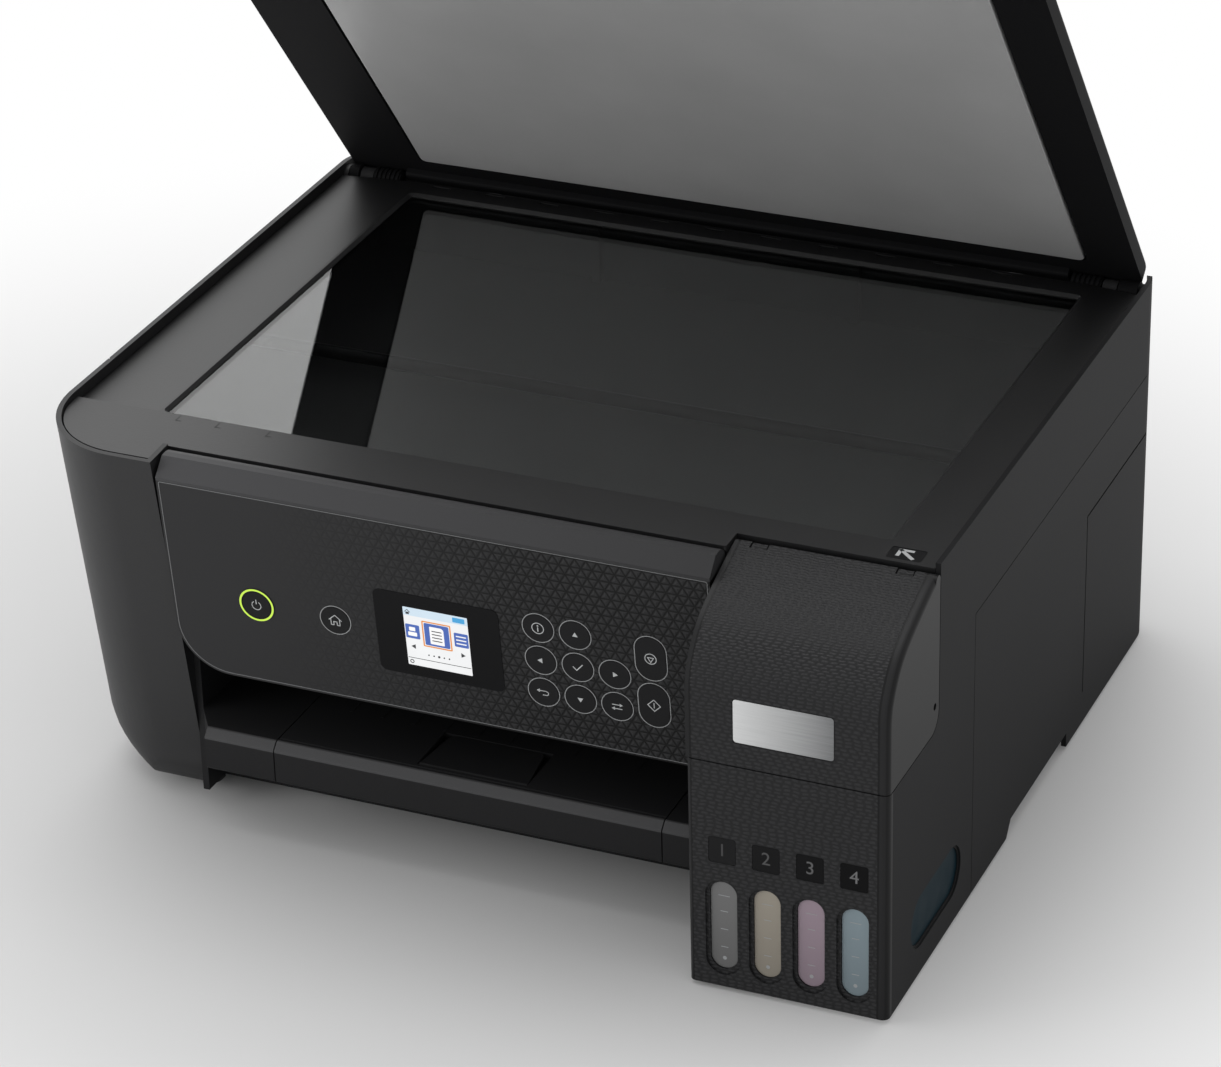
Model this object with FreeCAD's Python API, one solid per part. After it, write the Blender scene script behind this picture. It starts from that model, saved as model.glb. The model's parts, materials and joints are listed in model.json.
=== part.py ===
import FreeCAD, Part
import math
import os

V = FreeCAD.Vector

# Overall envelope (mm): X to the right, Y to the back, Z up, origin under the middle of the printer.
HALF_W = 187.5          # half of the casing width
FRONT_Y = -173.5        # front of the ink tank unit
CASE_REAR_Y = 164.5     # rear wall of the casing
BULGE_DEPTH = 9.0       # the paper feeder stands this far out of the rear wall
BULGE_Y = CASE_REAR_Y + BULGE_DEPTH
DECK_Z = 168.0          # top of the scanner deck
RIM_RISE = 2.5          # the side rims stand this far above the deck
RIM_Z = DECK_Z + RIM_RISE
SKIN_Z = 2.0            # lower edge of the side panels
WALL = 2.2              # moulded wall thickness
PAN_THICK = 2.5
PAN_Z = SKIN_Z + WALL   # underside of the base pan
PAN_TOP = PAN_Z + PAN_THICK   # inner parts stand on this face
FIT = 0.3               # gap between separate bodies
RUN = 0.06              # running clearance of pins and shafts
SEAM = 0.2              # half of the gap at a seam between casing parts
SIDE_SEAM_Z = 128.0     # seam between right side panel and base case
SIDE_SEAM_Y = -77.5
CORNER_R = 22.0         # plan radius of the rear corners
WRAP = CORNER_R         # the side panels wrap this far round the rear
SIDE_X = HALF_W - WRAP  # joint of side panels and rear cover
INNER_X = HALF_W - WALL
INNER_REAR_Y = CASE_REAR_Y - WALL

# Left leg
LEG_WIDTH = 57.9
LEG_X = -HALF_W + LEG_WIDTH   # inner side of the leg
LEG_TOP_Y = -144.9      # leg front at deck height
LEG_LEAN = 0.167        # backward lean of the leg front per mm of drop
LEG_KNEE_Z = 40.0       # below this the leg front is upright
LEG_CORNER_R = 39.0
TOE_R = 16.0
PAN_Y0 = -105.0        # front edge of the base pan
HEEL_R = 12.0
GRIP_Y0, GRIP_Y1, GRIP_TOP = -38.0, 43.0, 8.5   # finger holds under both sides

# Ink tank unit
TANK_WIDTH = 80.7
TANK_X = HALF_W - TANK_WIDTH
TANK_SPLIT_Z = 100.7    # seam between tank case and tank cover
TANK_DEPTH = 54.9
TANK_REAR_Y = FRONT_Y + TANK_DEPTH   # seam between tank cover and side panel
TANK_FIRST, TANK_LAST = 14.2, 13.49   # middle of the outer tanks to the sides of the unit
TANK_FIRST_X = TANK_X + TANK_FIRST
TANK_COUNT = 4
TANK_PITCH = (TANK_WIDTH - TANK_FIRST - TANK_LAST) / (TANK_COUNT - 1)
WINDOW_W, WINDOW_Z0, WINDOW_Z1 = 11.0, 9.5, 48.5
NECK_R = 5.5
NECK_Y = FRONT_Y + 27.5
NECK_TOP_Z = TANK_SPLIT_Z + 3.3
COVER_PIVOT = (TANK_REAR_Y - 2.9, DECK_Z - 3.5)
COVER_BARREL_R = 2.5
TANK_CASE_REAR_Y = -62.0
TANK_RETURN = 4.3       # the tank case wraps this far round to the side panel
COVER_PIN_R = 1.2
CAP_PIN_R = 1.2
CAP_PIVOT = (NECK_Y + 11.5, NECK_TOP_Z + 1.2)
CAP_HALF_W = 4.8        # half width of a filler cap at its hinge
NECK_BORE_R = 3.6
TANK_GAP = 1.07
TANK_WALL = 1.4
TANK_BODY_REAR_Y = -84.0
COVER_GAP = 0.6         # behind the tank cover
KNUCKLE_W, KNUCKLE_GAP = 6.0, 0.6
BADGE_X0, BADGE_W, BADGE_Z0, BADGE_H = TANK_X + 18.8, 40.6, 111.2, 19.0

# Scanner deck and lid
HINGE_Y, HINGE_Z = CASE_REAR_Y - 20.0, DECK_Z - 3.7
RIM_END_Y, RIM_STEP_Z = HINGE_Y + 6.0, DECK_Z - 8.0     # the rims step down behind the lid hinge
DECK_REAR_Y = HINGE_Y - 6.0
OPEN_X0, OPEN_X1 = -HALF_W + 42.4, HALF_W - 25.7     # scanner opening in the deck
OPEN_Y0, OPEN_Y1 = TANK_REAR_Y + 16.8, DECK_REAR_Y - 12.5
DECK_THICK = 4.0
DECK_PANEL_Y = -129.5   # deck front edge behind the control panel
GLASS_THICK = 3.0
GLASS_SINK = 1.4        # glass surface below the deck surface
GLASS_LAP = 5.8         # the glass reaches this far under the deck
GLASS_UNDER = DECK_Z - GLASS_SINK - GLASS_THICK
DECK_BEVEL = 1.6
SCAN_BAR_W = 16.0
TRAY_X = HALF_W - 5.5
TRAY_Y0 = TANK_REAR_Y + 5.6
TRAY_Y1 = DECK_REAR_Y - 0.5
TRAY_Z0 = DECK_Z - 36.0
PIN_R = 2.0
PIN_END_X = HALF_W - 0.9   # the pins end inside the casing walls
BARREL_R = 5.2
BARREL_RIBS = 6
LID_OPEN = 51.4         # lid angle in the rest pose, degrees
LID_HALF_W = HALF_W - 4.5
LID_FRONT_Y = TANK_REAR_Y + 5.6
LID_REAR_Y = HINGE_Y + 2.0
LID_THICK = 10.0
LID_Z0 = DECK_Z + 1.0
LID_Z1 = LID_Z0 + LID_THICK
PAD_X0, PAD_X1 = OPEN_X0 - 0.9, OPEN_X1 - 1.8
PAD_Y0, PAD_Y1 = OPEN_Y0 - 4.2, OPEN_Y1 + 4.5
PAD_Z0, PAD_THICK = DECK_Z + 0.2, 3.2
LUG_W = 6.2             # scanner hinge lugs beside the lid barrels
LEFT_BARREL = (-HALF_W + 17.0, -HALF_W + 29.5)
RIGHT_BARREL = (HALF_W - 34.0, HALF_W - 21.0)
LUG_GAP = 0.7
LUG_R = 4.3             # crown of the lugs, under the lid's flat face
LEFT_BUSH = (-LID_HALF_W + 0.5, LEFT_BARREL[0] - LUG_W - 2 * LUG_GAP)
RIGHT_BUSH = (RIGHT_BARREL[1] + LUG_W + 2 * LUG_GAP, LID_HALF_W - 0.5)
RAIL_ROD_Y, RAIL_ROD_Z, RAIL_ROD_R = 12.0, TRAY_Z0 + 11.0, 3.0

# Control panel
PANEL_X0, PANEL_X1 = LEG_X + 1.6, TANK_X - 1.3
PANEL_PIVOT = (DECK_PANEL_Y - 5.5, DECK_Z - 6.5)
PANEL_BARREL_R = 7.0
PANEL_CORNER_R = 22.0
FACE_TOP = (PANEL_PIVOT[0] - 9.5, PANEL_PIVOT[1] + 0.1)
FACE_HEIGHT, FACE_SETBACK = 90.1, 10.4
FACE_BOTTOM = (FACE_TOP[0] + FACE_SETBACK, FACE_TOP[1] - FACE_HEIGHT)
PANEL_REAR_Y = PANEL_PIVOT[0] + 9.0
PANEL_ARM_R = 4.2
PANEL_ARMS = ((PANEL_X0 + 7.5, PANEL_X0 + 12.0), (PANEL_X1 - 11.5, PANEL_X1 - 7.0))
PANEL_STUBS = ((PANEL_X0 + 4.0, PANEL_X0 + 7.6), (PANEL_X1 - 7.1, PANEL_X1 - 3.7))
PANEL_EARS = ((PANEL_X0 + 4.0, PANEL_X0 + 6.8), (PANEL_X1 - 6.5, PANEL_X1 - 3.7))
KEY_R = 6.2
KEY_SLIT = 0.2
KEY_PROUD = 0.25
KEY_TRAVEL = 0.5
KEY_FLANGE = 1.0
PILL_W, PILL_H = 12.4, 19.8
PANEL_MID = (PANEL_X0 + PANEL_X1) / 2
WINDOW_BOX = (PANEL_MID - 26.35, PANEL_X1 - 89.7, 33.6, 72.4)   # x0, x1, top, bottom down the face
SCREEN_BOX = (WINDOW_BOX[0] + 11.6, WINDOW_BOX[1] - 12.4, WINDOW_BOX[2] + 5.2, WINDOW_BOX[3] - 4.0)
WINDOW_SINK = 1.5
RING_R0, RING_R1 = KEY_R + 0.25, KEY_R + 1.6
COLUMN_1, COLUMN_2, COLUMN_3 = PANEL_X1 - 73.0, PANEL_X1 - 57.5, PANEL_X1 - 42.1
LONG_COLUMN = PANEL_X1 - 26.5
ROW_PITCH = 15.2
ROW_2 = 53.2            # middle row of keys, down the face
ROW_1, ROW_3 = ROW_2 - ROW_PITCH, ROW_2 + ROW_PITCH
KEYS = {
    "power_button": (PANEL_MID - 78.85, ROW_2 - 0.2),
    "home_button": (PANEL_MID - 44.25, ROW_2 - 0.2),
    "help_button": (COLUMN_1, ROW_1),
    "up_button": (COLUMN_2, ROW_1),
    "left_button": (COLUMN_1, ROW_2),
    "ok_button": (COLUMN_2, ROW_2),
    "right_button": (COLUMN_3, ROW_2),
    "back_button": (COLUMN_1, ROW_3),
    "down_button": (COLUMN_2, ROW_3),
    "options_button": (COLUMN_3, ROW_3),
}
PILLS = {"stop_button": (LONG_COLUMN, ROW_2 - 10.8), "start_button": (LONG_COLUMN, ROW_2 + 11.2)}

# Output tray
SHELF_X0, SHELF_X1 = LEG_X + 2.8, TANK_X - 3.0
TRAY_SPLIT_X0, TRAY_SPLIT_X1 = SHELF_X0 + 40.3, SHELF_X1 - 22.3
SLOT_FRONT_Y = -139.0
SHELF_Z = 31.0
TRAY_TOP_Z = SHELF_Z + 15.0
TRAY_RAIL = 2.0
STOPPER_W = 47.0
STOPPER_X0 = (TRAY_SPLIT_X0 + TRAY_SPLIT_X1 - STOPPER_W) / 2
STOPPER_X1 = STOPPER_X0 + STOPPER_W
STOPPER_PIVOT = (SLOT_FRONT_Y + 9.0, TRAY_TOP_Z - 1.1)
STOPPER_R = 1.1
STOPPER_END_Y = SLOT_FRONT_Y + 32.8
SHELF_THICK = 3.0
TRAY_REAR_Y = -28.0
TRAY_GAP = 0.5          # gap between the sliding tray and the fixed platforms
NOSE_DEPTH, NOSE_BEVEL = 5.0, 3.0   # pull-out front of the tray
FRAME_Y0, FRAME_Y1 = PANEL_REAR_Y + 3.5, -12.0
FRAME_TOP = TRAY_Z0 - 6.0

# Rear paper feeder: the chute leans back from the upright
CHUTE_LEAN = 25.0
CHUTE_ORIGIN = (CASE_REAR_Y + 4.1, DECK_Z - 3.0)
SUPPORT_HALF_W = 105.0
SUPPORT_LENGTH = 108.0
SUPPORT_THICK = 2.5
GUIDE_DEPTH = 8.0
BULGE_HALF_W = SUPPORT_HALF_W + 22.0

# Sockets in the rear cover
INLET_X, INLET_Z, INLET_W, INLET_H = -HALF_W + 37.5, 26.0, 20.4, 16.4
DATA_X, DATA_Z, DATA_W, DATA_H = HALF_W - 34.0, 35.0, 12.6, 12.0
SOCKET_Y = CASE_REAR_Y - 0.3
SOCKET_GAP = 0.4        # round each socket in the rear cover

# Print mechanism
PLATE_THICK = 1.6       # upright side plates of the mechanism
MOTOR_R = 13.0
FOOT_R = 8.0
LEFT_PLATE_X = -HALF_W + 22.7
RIGHT_PLATE_X = HALF_W - 24.5
PLATEN_X0, PLATEN_X1 = LEFT_PLATE_X + 44.8, RIGHT_PLATE_X - 53.0
RAIL_Y, RAIL_THICK = 78.0, 1.5
RAIL_Z0, RAIL_Z1 = 84.0, 125.0
PULLEY_Z, PULLEY_R = 105.0, 5.5
PULLEY_X0, PULLEY_X1 = -HALF_W + 32.5, HALF_W - 19.5
PULLEY_SHAFT_R = 2.0
BELT_THICK, BELT_Y0, BELT_Y1 = 1.2, RAIL_Y - 7.0, RAIL_Y - 2.0
FEED_Y, FEED_Z, FEED_R = 66.0, 52.0, 6.0
FEED_SHAFT_R, EJECT_SHAFT_R, IDLER_POST_R, PINION_SHAFT_R = 3.0, 2.5, 2.0, 1.5
EJECT_Z, EJECT_R = FEED_Z, 4.5
GEAR_W = 6.0
GEAR_X0 = LEFT_PLATE_X - 7.2
GEAR_X1 = GEAR_X0 + GEAR_W
MODULE = 1.0
FEED_TEETH, IDLER_TEETH, EJECT_TEETH, PINION_TEETH = 40, 24, 24, 10
CENTRE_SLACK = 0.1      # added to each gear centre distance
PINION_ANGLE = -30.0    # of the motor pinion about the feed gear, degrees
ROLLER_HALF_W = RIGHT_PLATE_X - 13.0
CARRIAGE_GAP = 0.8
CARRIAGE_X0, CARRIAGE_X1 = HALF_W - 95.5, HALF_W - 9.5


def box(x0, x1, y0, y1, z0, z1):
    return Part.makeBox(x1 - x0, y1 - y0, z1 - z0, V(x0, y0, z0))


def rod_x(x0, x1, y, z, r):
    return Part.makeCylinder(r, x1 - x0, V(x0, y, z), V(1, 0, 0))


def rod_y(y0, y1, x, z, r):
    return Part.makeCylinder(r, y1 - y0, V(x, y0, z), V(0, 1, 0))


def rod_z(z0, z1, x, y, r):
    return Part.makeCylinder(r, z1 - z0, V(x, y, z0), V(0, 0, 1))


def outline(points, plane, level):
    """Closed wire through (u, v) or (u, v, radius) corners of a plane."""
    place = {
        "xy": lambda p: V(p.x, p.y, level),
        "yz": lambda p: V(level, p.x, p.y),
        "xz": lambda p: V(p.x, level, p.y),
    }[plane]
    count = len(points)
    corners = []
    for i, point in enumerate(points):
        here = V(point[0], point[1], 0)
        radius = point[2] if len(point) > 2 else 0
        if radius <= 0:
            corners.append((here, None, here))
            continue
        before = points[i - 1]
        after = points[(i + 1) % count]
        back = V(before[0], before[1], 0) - here
        ahead = V(after[0], after[1], 0) - here
        back.normalize()
        ahead.normalize()
        half = back.getAngle(ahead) / 2
        run = radius / math.tan(half)
        middle = back + ahead
        middle.normalize()
        crown = here + middle * (radius / math.sin(half) - radius)
        corners.append((here + back * run, crown, here + ahead * run))
    edges = []
    for i, (start, crown, end) in enumerate(corners):
        if crown is not None:
            edges.append(Part.Arc(place(start), place(crown), place(end)).toShape())
        following = corners[(i + 1) % count][0]
        if (following - end).Length > 1e-6:
            edges.append(Part.makeLine(place(end), place(following)))
    return Part.Wire(edges)


def prism(points, plane, a, b):
    axis = {"xy": V(0, 0, 1), "yz": V(1, 0, 0), "xz": V(0, 1, 0)}[plane]
    return Part.Face(outline(points, plane, a)).extrude(axis * (b - a))


def rounded(u0, u1, v0, v1, r):
    return [(u0, v0, r), (u1, v0, r), (u1, v1, r), (u0, v1, r)]


def spread(start, end, pitch):
    """Evenly spaced places from a start up to an end."""
    return [start + pitch * i for i in range(int((end - start) / pitch + 0.001) + 1)]


def fuse(shapes):
    joined = shapes[0]
    for shape in shapes[1:]:
        joined = joined.fuse(shape)
    return joined.removeSplitter()


def cut(shape, tools):
    for tool in tools:
        shape = shape.cut(tool)
    return shape


def turned(shape, pivot, degrees):
    """Copy turned about an X axis through (y, z); the front goes up for a positive angle."""
    copy = shape.copy()
    copy.rotate(V(0, pivot[0], pivot[1]), V(-1, 0, 0), degrees)
    return copy


def frame_placed(shape, degrees, y, z):
    """Copy from a local plane (X right, Y up the plane, Z out of it) into the printer."""
    copy = shape.copy()
    copy.rotate(V(0, 0, 0), V(1, 0, 0), degrees)
    copy.translate(V(0, y, z))
    return copy


def on_face(shape):
    lean = math.degrees(math.atan2(FACE_BOTTOM[0] - FACE_TOP[0], FACE_TOP[1] - FACE_BOTTOM[1]))
    return frame_placed(shape, 90 + lean, FACE_TOP[0], FACE_TOP[1])


def on_chute(shape):
    return frame_placed(shape, 90 - CHUTE_LEAN, CHUTE_ORIGIN[0], CHUTE_ORIGIN[1])


# Casing

def leg_front(z):
    return LEG_TOP_Y + (DECK_Z - max(z, LEG_KNEE_Z)) * LEG_LEAN


def leg_section(z, inset):
    y = leg_front(z) + inset
    left = -HALF_W + inset
    rear = CASE_REAR_Y - inset
    inner = LEG_X - inset
    return outline([(inner, y), (left, y, LEG_CORNER_R - inset), (left, rear, CORNER_R - inset),
                    (inner, rear)], "xy", z)


def left_volume(inset, top, bottom):
    upper = Part.makeLoft([leg_section(top, inset), leg_section(LEG_KNEE_Z, inset)], True, True)
    lower = Part.makeLoft([leg_section(LEG_KNEE_Z, inset), leg_section(bottom, inset)], True, True)
    body = upper.fuse(lower)
    low = SKIN_Z + inset
    knee_y = leg_front(LEG_KNEE_Z) + inset
    side_view = [(-300, 300), (-300, LEG_KNEE_Z), (knee_y, LEG_KNEE_Z), (knee_y, low, TOE_R - inset),
                 (CASE_REAR_Y - inset, low, HEEL_R - inset), (CASE_REAR_Y - inset, 300)]
    front_view = [(-HALF_W + inset, 300), (-HALF_W + inset, low, TOE_R - inset), (0, low), (0, 300)]
    body = body.common(prism(side_view, "yz", -300, 0))
    return body.common(prism(front_view, "xz", -300, 300))


def left_side_panel():
    shell = left_volume(0, RIM_Z, 0).cut(left_volume(WALL, RIM_Z + 4, -4))
    rim_fade = prism([(-105, RIM_Z), (-150, DECK_Z - 0.3), (-150, RIM_Z + 5), (-105, RIM_Z + 5)], "yz",
                     -HALF_W - 10, LEG_X + 10)
    grip = prism([(GRIP_Y0, 0), (GRIP_Y0 + 8, GRIP_TOP), (GRIP_Y1, GRIP_TOP), (GRIP_Y1, 0)], "yz",
                 -HALF_W - 10, -HALF_W + 17.5)
    past = LEG_X + 10
    tray_room = TRAY_Y0 - 3
    shell = cut(shell, [
        box(-SIDE_X, past, PAN_Y0 + 10, CASE_REAR_Y + 40, -5, RIM_Z + 30),
        box(-SIDE_X, past, DECK_PANEL_Y - 0.3, PAN_Y0 + 15, DECK_Z - 5.5, RIM_Z + 30),
        box(-SIDE_X, past, PAN_Y0 - 1, CASE_REAR_Y + 40, 0, PAN_TOP),
        box(-HALF_W + 3.5, past, tray_room, PAN_Y0 + 15, TRAY_Z0 - 0.5, RIM_Z + 30),
        rim_fade,
        grip,
        box(-HALF_W - 10, -HALF_W + 0.8, -72.6, -71.6, RIM_Z - 2, RIM_Z + 1),
        box(-HALF_W - 10, -SIDE_X + 5, RIM_END_Y, CASE_REAR_Y + 40, RIM_STEP_Z, RIM_Z + 30),
    ])
    bore = rod_x(-PIN_END_X, -SIDE_X, HINGE_Y, HINGE_Z, PIN_R)
    return fuse([shell, hinge_pad(-INNER_X - 0.5, -LID_HALF_W - FIT)]).cut(bore)


def hinge_pad(x0, x1):
    """Thickening inside a casing wall that holds the end of a hinge pin."""
    web = [(HINGE_Y - 4, HINGE_Z), (HINGE_Y + 4, HINGE_Z), (HINGE_Y, HINGE_Z - 22)]
    return rod_x(x0, x1, HINGE_Y, HINGE_Z, PIN_R + 2.5).fuse(prism(web, "yz", x0, x1))


def right_wall(z0, z1, y0):
    low = SIDE_X - 15
    outer = prism([(low, y0), (HALF_W, y0), (HALF_W, CASE_REAR_Y, CORNER_R), (low, CASE_REAR_Y)], "xy", z0, z1)
    inner = prism([(low - 1, y0 - 1), (INNER_X, y0 - 1), (INNER_X, INNER_REAR_Y, CORNER_R - WALL),
                   (low - 1, INNER_REAR_Y)], "xy", z0 - 1, z1 + 1)
    return outer.cut(inner).cut(box(low - 1, SIDE_X, y0 - 1, CASE_REAR_Y + 1, z0 - 1, z1 + 1))


def stadium_yz(y0, y1, z0, z1, x0, x1):
    return prism(rounded(y0, y1, z0, z1, (z1 - z0) / 2 - 0.01), "yz", x0, x1)


def right_side_panel():
    start = FRONT_Y + TANK_RETURN
    keep = prism([(start, SKIN_Z), (SIDE_SEAM_Y - SEAM, SKIN_Z), (SIDE_SEAM_Y - SEAM, SIDE_SEAM_Z + SEAM),
                  (CASE_REAR_Y + 1, SIDE_SEAM_Z + SEAM), (CASE_REAR_Y + 1, RIM_Z), (TANK_REAR_Y, RIM_Z),
                  (TANK_REAR_Y, TANK_SPLIT_Z, 9), (start, TANK_SPLIT_Z)], "yz", SIDE_X - 20, HALF_W + 1)
    wall = right_wall(0, RIM_Z, start).common(keep)
    y0 = FRONT_Y + 26.5
    y1 = y0 + 55
    bevel = prism(rounded(y0 - 1, y1 + 1, 14, 37, 11.4), "yz", HALF_W - 0.8, HALF_W + 1)
    step = box(SIDE_X - 5, HALF_W + 1, RIM_END_Y, CASE_REAR_Y + 1, RIM_STEP_Z, RIM_Z + 1)
    wall = cut(wall, [stadium_yz(y0, y1, 15, 36, SIDE_X, HALF_W + 1), bevel, step])
    flange = box(HALF_W - 6, INNER_X, SIDE_SEAM_Y - 4, SIDE_SEAM_Y + 5, 8, SIDE_SEAM_Z - 4)
    bore = rod_x(SIDE_X, PIN_END_X, HINGE_Y, HINGE_Z, PIN_R)
    return fuse([wall, flange, hinge_pad(LID_HALF_W + FIT, INNER_X + 0.5)]).cut(bore)


def base_case():
    wall = right_wall(SKIN_Z, SIDE_SEAM_Z - SEAM, SIDE_SEAM_Y + SEAM)
    far, high = CASE_REAR_Y + 40, SKIN_Z + 30
    keep = [(FRONT_Y, 0), (FRONT_Y, RIM_Z + 30), (far, RIM_Z + 30), (far, high), (CASE_REAR_Y, high),
            (CASE_REAR_Y, SKIN_Z, HEEL_R)]
    wall = wall.common(prism(keep, "yz", 0, HALF_W + 1))
    left = -HALF_W + TOE_R
    bay = TANK_X - 3.8
    rear = INNER_REAR_Y - 0.5
    corner = -SIDE_X + 5.5
    right = HALF_W - 1.5
    step = TANK_CASE_REAR_Y + 2
    pan = prism([(left, PAN_Y0), (bay, PAN_Y0), (bay, step), (right, step), (right, rear - 11.8, 12),
                 (HALF_W - 17.5, rear, 6), (corner, rear), (corner, rear - 11.8),
                 (left, rear - 11.8)], "xy", PAN_Z, PAN_TOP)
    front = PAN_Y0 + WALL
    upstands = [
        box(left, LEG_X - WALL - SEAM, PAN_Y0, front, PAN_Z, 18),
        box(LEG_X + 4.6, bay - 1, PAN_Y0, front, PAN_Z, 18),
        box(-BULGE_HALF_W + 7, BULGE_HALF_W - 7, rear - WALL, rear, PAN_Z, 14),
        box(corner, -BULGE_HALF_W - 1, INNER_REAR_Y - WALL, INNER_REAR_Y, PAN_Z, 14),
        box(BULGE_HALF_W + 1, SIDE_X - 5.5, INNER_REAR_Y - WALL, INNER_REAR_Y, PAN_Z, 14),
    ]
    ribs = [box(x, x + 1.8, -60, 0, PAN_Z + 1, PAN_TOP + 4.3) for x in (-150, -100, -50, 0, 50)]
    line_y, line_z = 64.0, 100.0
    grooves = [
        box(HALF_W - 0.5, HALF_W + 1, line_y, CASE_REAR_Y + 40, line_z - 0.45, line_z + 0.45),
        box(HALF_W - 0.5, HALF_W + 1, line_y - 0.45, line_y + 0.45, 17, line_z + 0.45),
    ]
    grip = prism([(GRIP_Y0 + 2, 0), (GRIP_Y0 + 9, GRIP_TOP), (GRIP_Y1, GRIP_TOP), (GRIP_Y1, 0)], "yz",
                 HALF_W - 15.5, HALF_W + 10)
    return cut(fuse([wall, pan, gear_frame(), roller_frame()] + upstands + ribs), grooves + [grip])


def rear_cover():
    y = CASE_REAR_Y
    half = SIDE_X
    side = BULGE_HALF_W
    low, high = PAN_TOP + 1.3, DECK_Z - 2
    outer = [(-half, y), (-side, y, 4), (-side + 6, BULGE_Y, 4), (side - 6, BULGE_Y, 4), (side, y, 4),
             (half, y)]
    inner = [(half, y - WALL), (side - 1.4, y - WALL, 2), (side - 7.4, BULGE_Y - WALL, 2),
             (-side + 7.4, BULGE_Y - WALL, 2), (-side + 1.4, y - WALL, 2), (-half, y - WALL)]
    shell = prism(outer + inner, "xy", low, high)
    floor = prism([(-side + 1, y - WALL), (-side + 6.6, BULGE_Y - 1), (side - 6.6, BULGE_Y - 1),
                   (side - 1, y - WALL)],
                  "xy", low, low + WALL)
    ledge_w = half - side + 8
    ledges = [box(x, x + ledge_w, HINGE_Y - 4.5, y - 1, high - 12, high - 12 + WALL)
              for x in (-half, half - ledge_w)]
    under = SUPPORT_THICK / 2 + FIT
    length = SUPPORT_LENGTH + 4
    chute = on_chute(box(-side + 8, side - 8, -length, 0.4, -under - 2.05, -under))
    rails = [on_chute(box(x, x + 2.5, -length, 0, -3, 1.2)) for x in (-SUPPORT_HALF_W - 2.9,
                                                                      SUPPORT_HALF_W + 0.4)]
    vents = [box(x, x + 3, y - 4.5, BULGE_Y + 10, 30, 60) for x in range(-60, 61, 10)]
    socket_holes = []
    for x, z, w, h in ((INLET_X, INLET_Z, INLET_W, INLET_H), (DATA_X, DATA_Z, DATA_W, DATA_H)):
        half_w, half_h = w / 2 + SOCKET_GAP, h / 2 + SOCKET_GAP
        socket_holes.append(box(x - half_w, x + half_w, y - 14.5, y + 40, z - half_h, z + half_h))
    return cut(fuse([shell, floor, chute] + ledges + rails), vents + socket_holes)


# Front frame and output tray

def tray_nose():
    """Side view of the front edge that the fixed platforms and the pull-out front share."""
    y, top = SLOT_FRONT_Y, TRAY_TOP_Z
    return [(y, SHELF_Z - SHELF_THICK, 1.5), (y, top - NOSE_BEVEL, 0.8), (y + NOSE_BEVEL, top, 0.8)]


def front_frame():
    left, right = SHELF_X0, SHELF_X1
    y, top = FRAME_Y0, FRAME_TOP
    cheeks = [box(LEG_X, left, y, FRAME_Y1, PAN_TOP, top), box(right, TANK_X, y, FRAME_Y1, PAN_TOP, top)]
    beam = prism([(y + 12.5, top - 28), (y + 18.5, top - 28), (y + 18.5, top), (y + 4.5, top),
                  (y + 4.5, top - 6), (y + 12.5, top - 14)], "yz", left - 0.1, right + 0.1)
    shelf = box(left - 0.1, right + 0.1, SLOT_FRONT_Y + 11, FRAME_Y1, SHELF_Z - SHELF_THICK, SHELF_Z)
    lip = tray_nose() + [(TRAY_REAR_Y - 2, TRAY_TOP_Z - 1), (TRAY_REAR_Y - 2, SHELF_Z - SHELF_THICK)]
    platforms = [prism(lip, "yz", left - 0.1, TRAY_SPLIT_X0 - TRAY_GAP),
                 prism(lip, "yz", TRAY_SPLIT_X1 + TRAY_GAP, right + 0.1)]
    arms = []
    py, pz = PANEL_PIVOT
    for x0, x1 in PANEL_ARMS:
        arms += [
            rod_x(x0, x1, py, pz, PANEL_ARM_R),
            box(x0, x1, py - 2, py + 2.8, top - 5, pz),
            box(x0, x1, py - 2, y + 12.5, top - 8, top - 2),
        ]
    for x0, x1 in PANEL_STUBS:
        arms.append(rod_x(x0, x1, py, pz, PIN_R))
    return fuse(cheeks + [beam, shelf] + platforms + arms)


def output_tray():
    x0, x1 = TRAY_SPLIT_X0, TRAY_SPLIT_X1
    y = SLOT_FRONT_Y + NOSE_DEPTH + FIT
    top = TRAY_TOP_Z
    rear = TRAY_REAR_Y
    plate = prism([(y, top - 3.4), (y, top, 0.8), (rear, top - 0.7), (rear, top - 3.6)], "yz", x0, x1)
    rails = [box(x, x + TRAY_RAIL, y + 3, rear - 2, SHELF_Z + FIT, top - 3) for x in (x0, x1 - TRAY_RAIL)]
    recess = box(STOPPER_X0 - 0.4, STOPPER_X1 + 0.4, STOPPER_PIVOT[0] - 1.8, STOPPER_END_Y + 0.7,
                 top - 2.6, top + 4)
    beads = [box(x, x + 1.6, STOPPER_END_Y + 2.2, rear - 4, top - 1, top - 0.1)
             for x in spread(x0 + 16.5, x1 - 16.5, 14)]
    return fuse([fuse([plate] + rails).cut(recess)] + beads)


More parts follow.
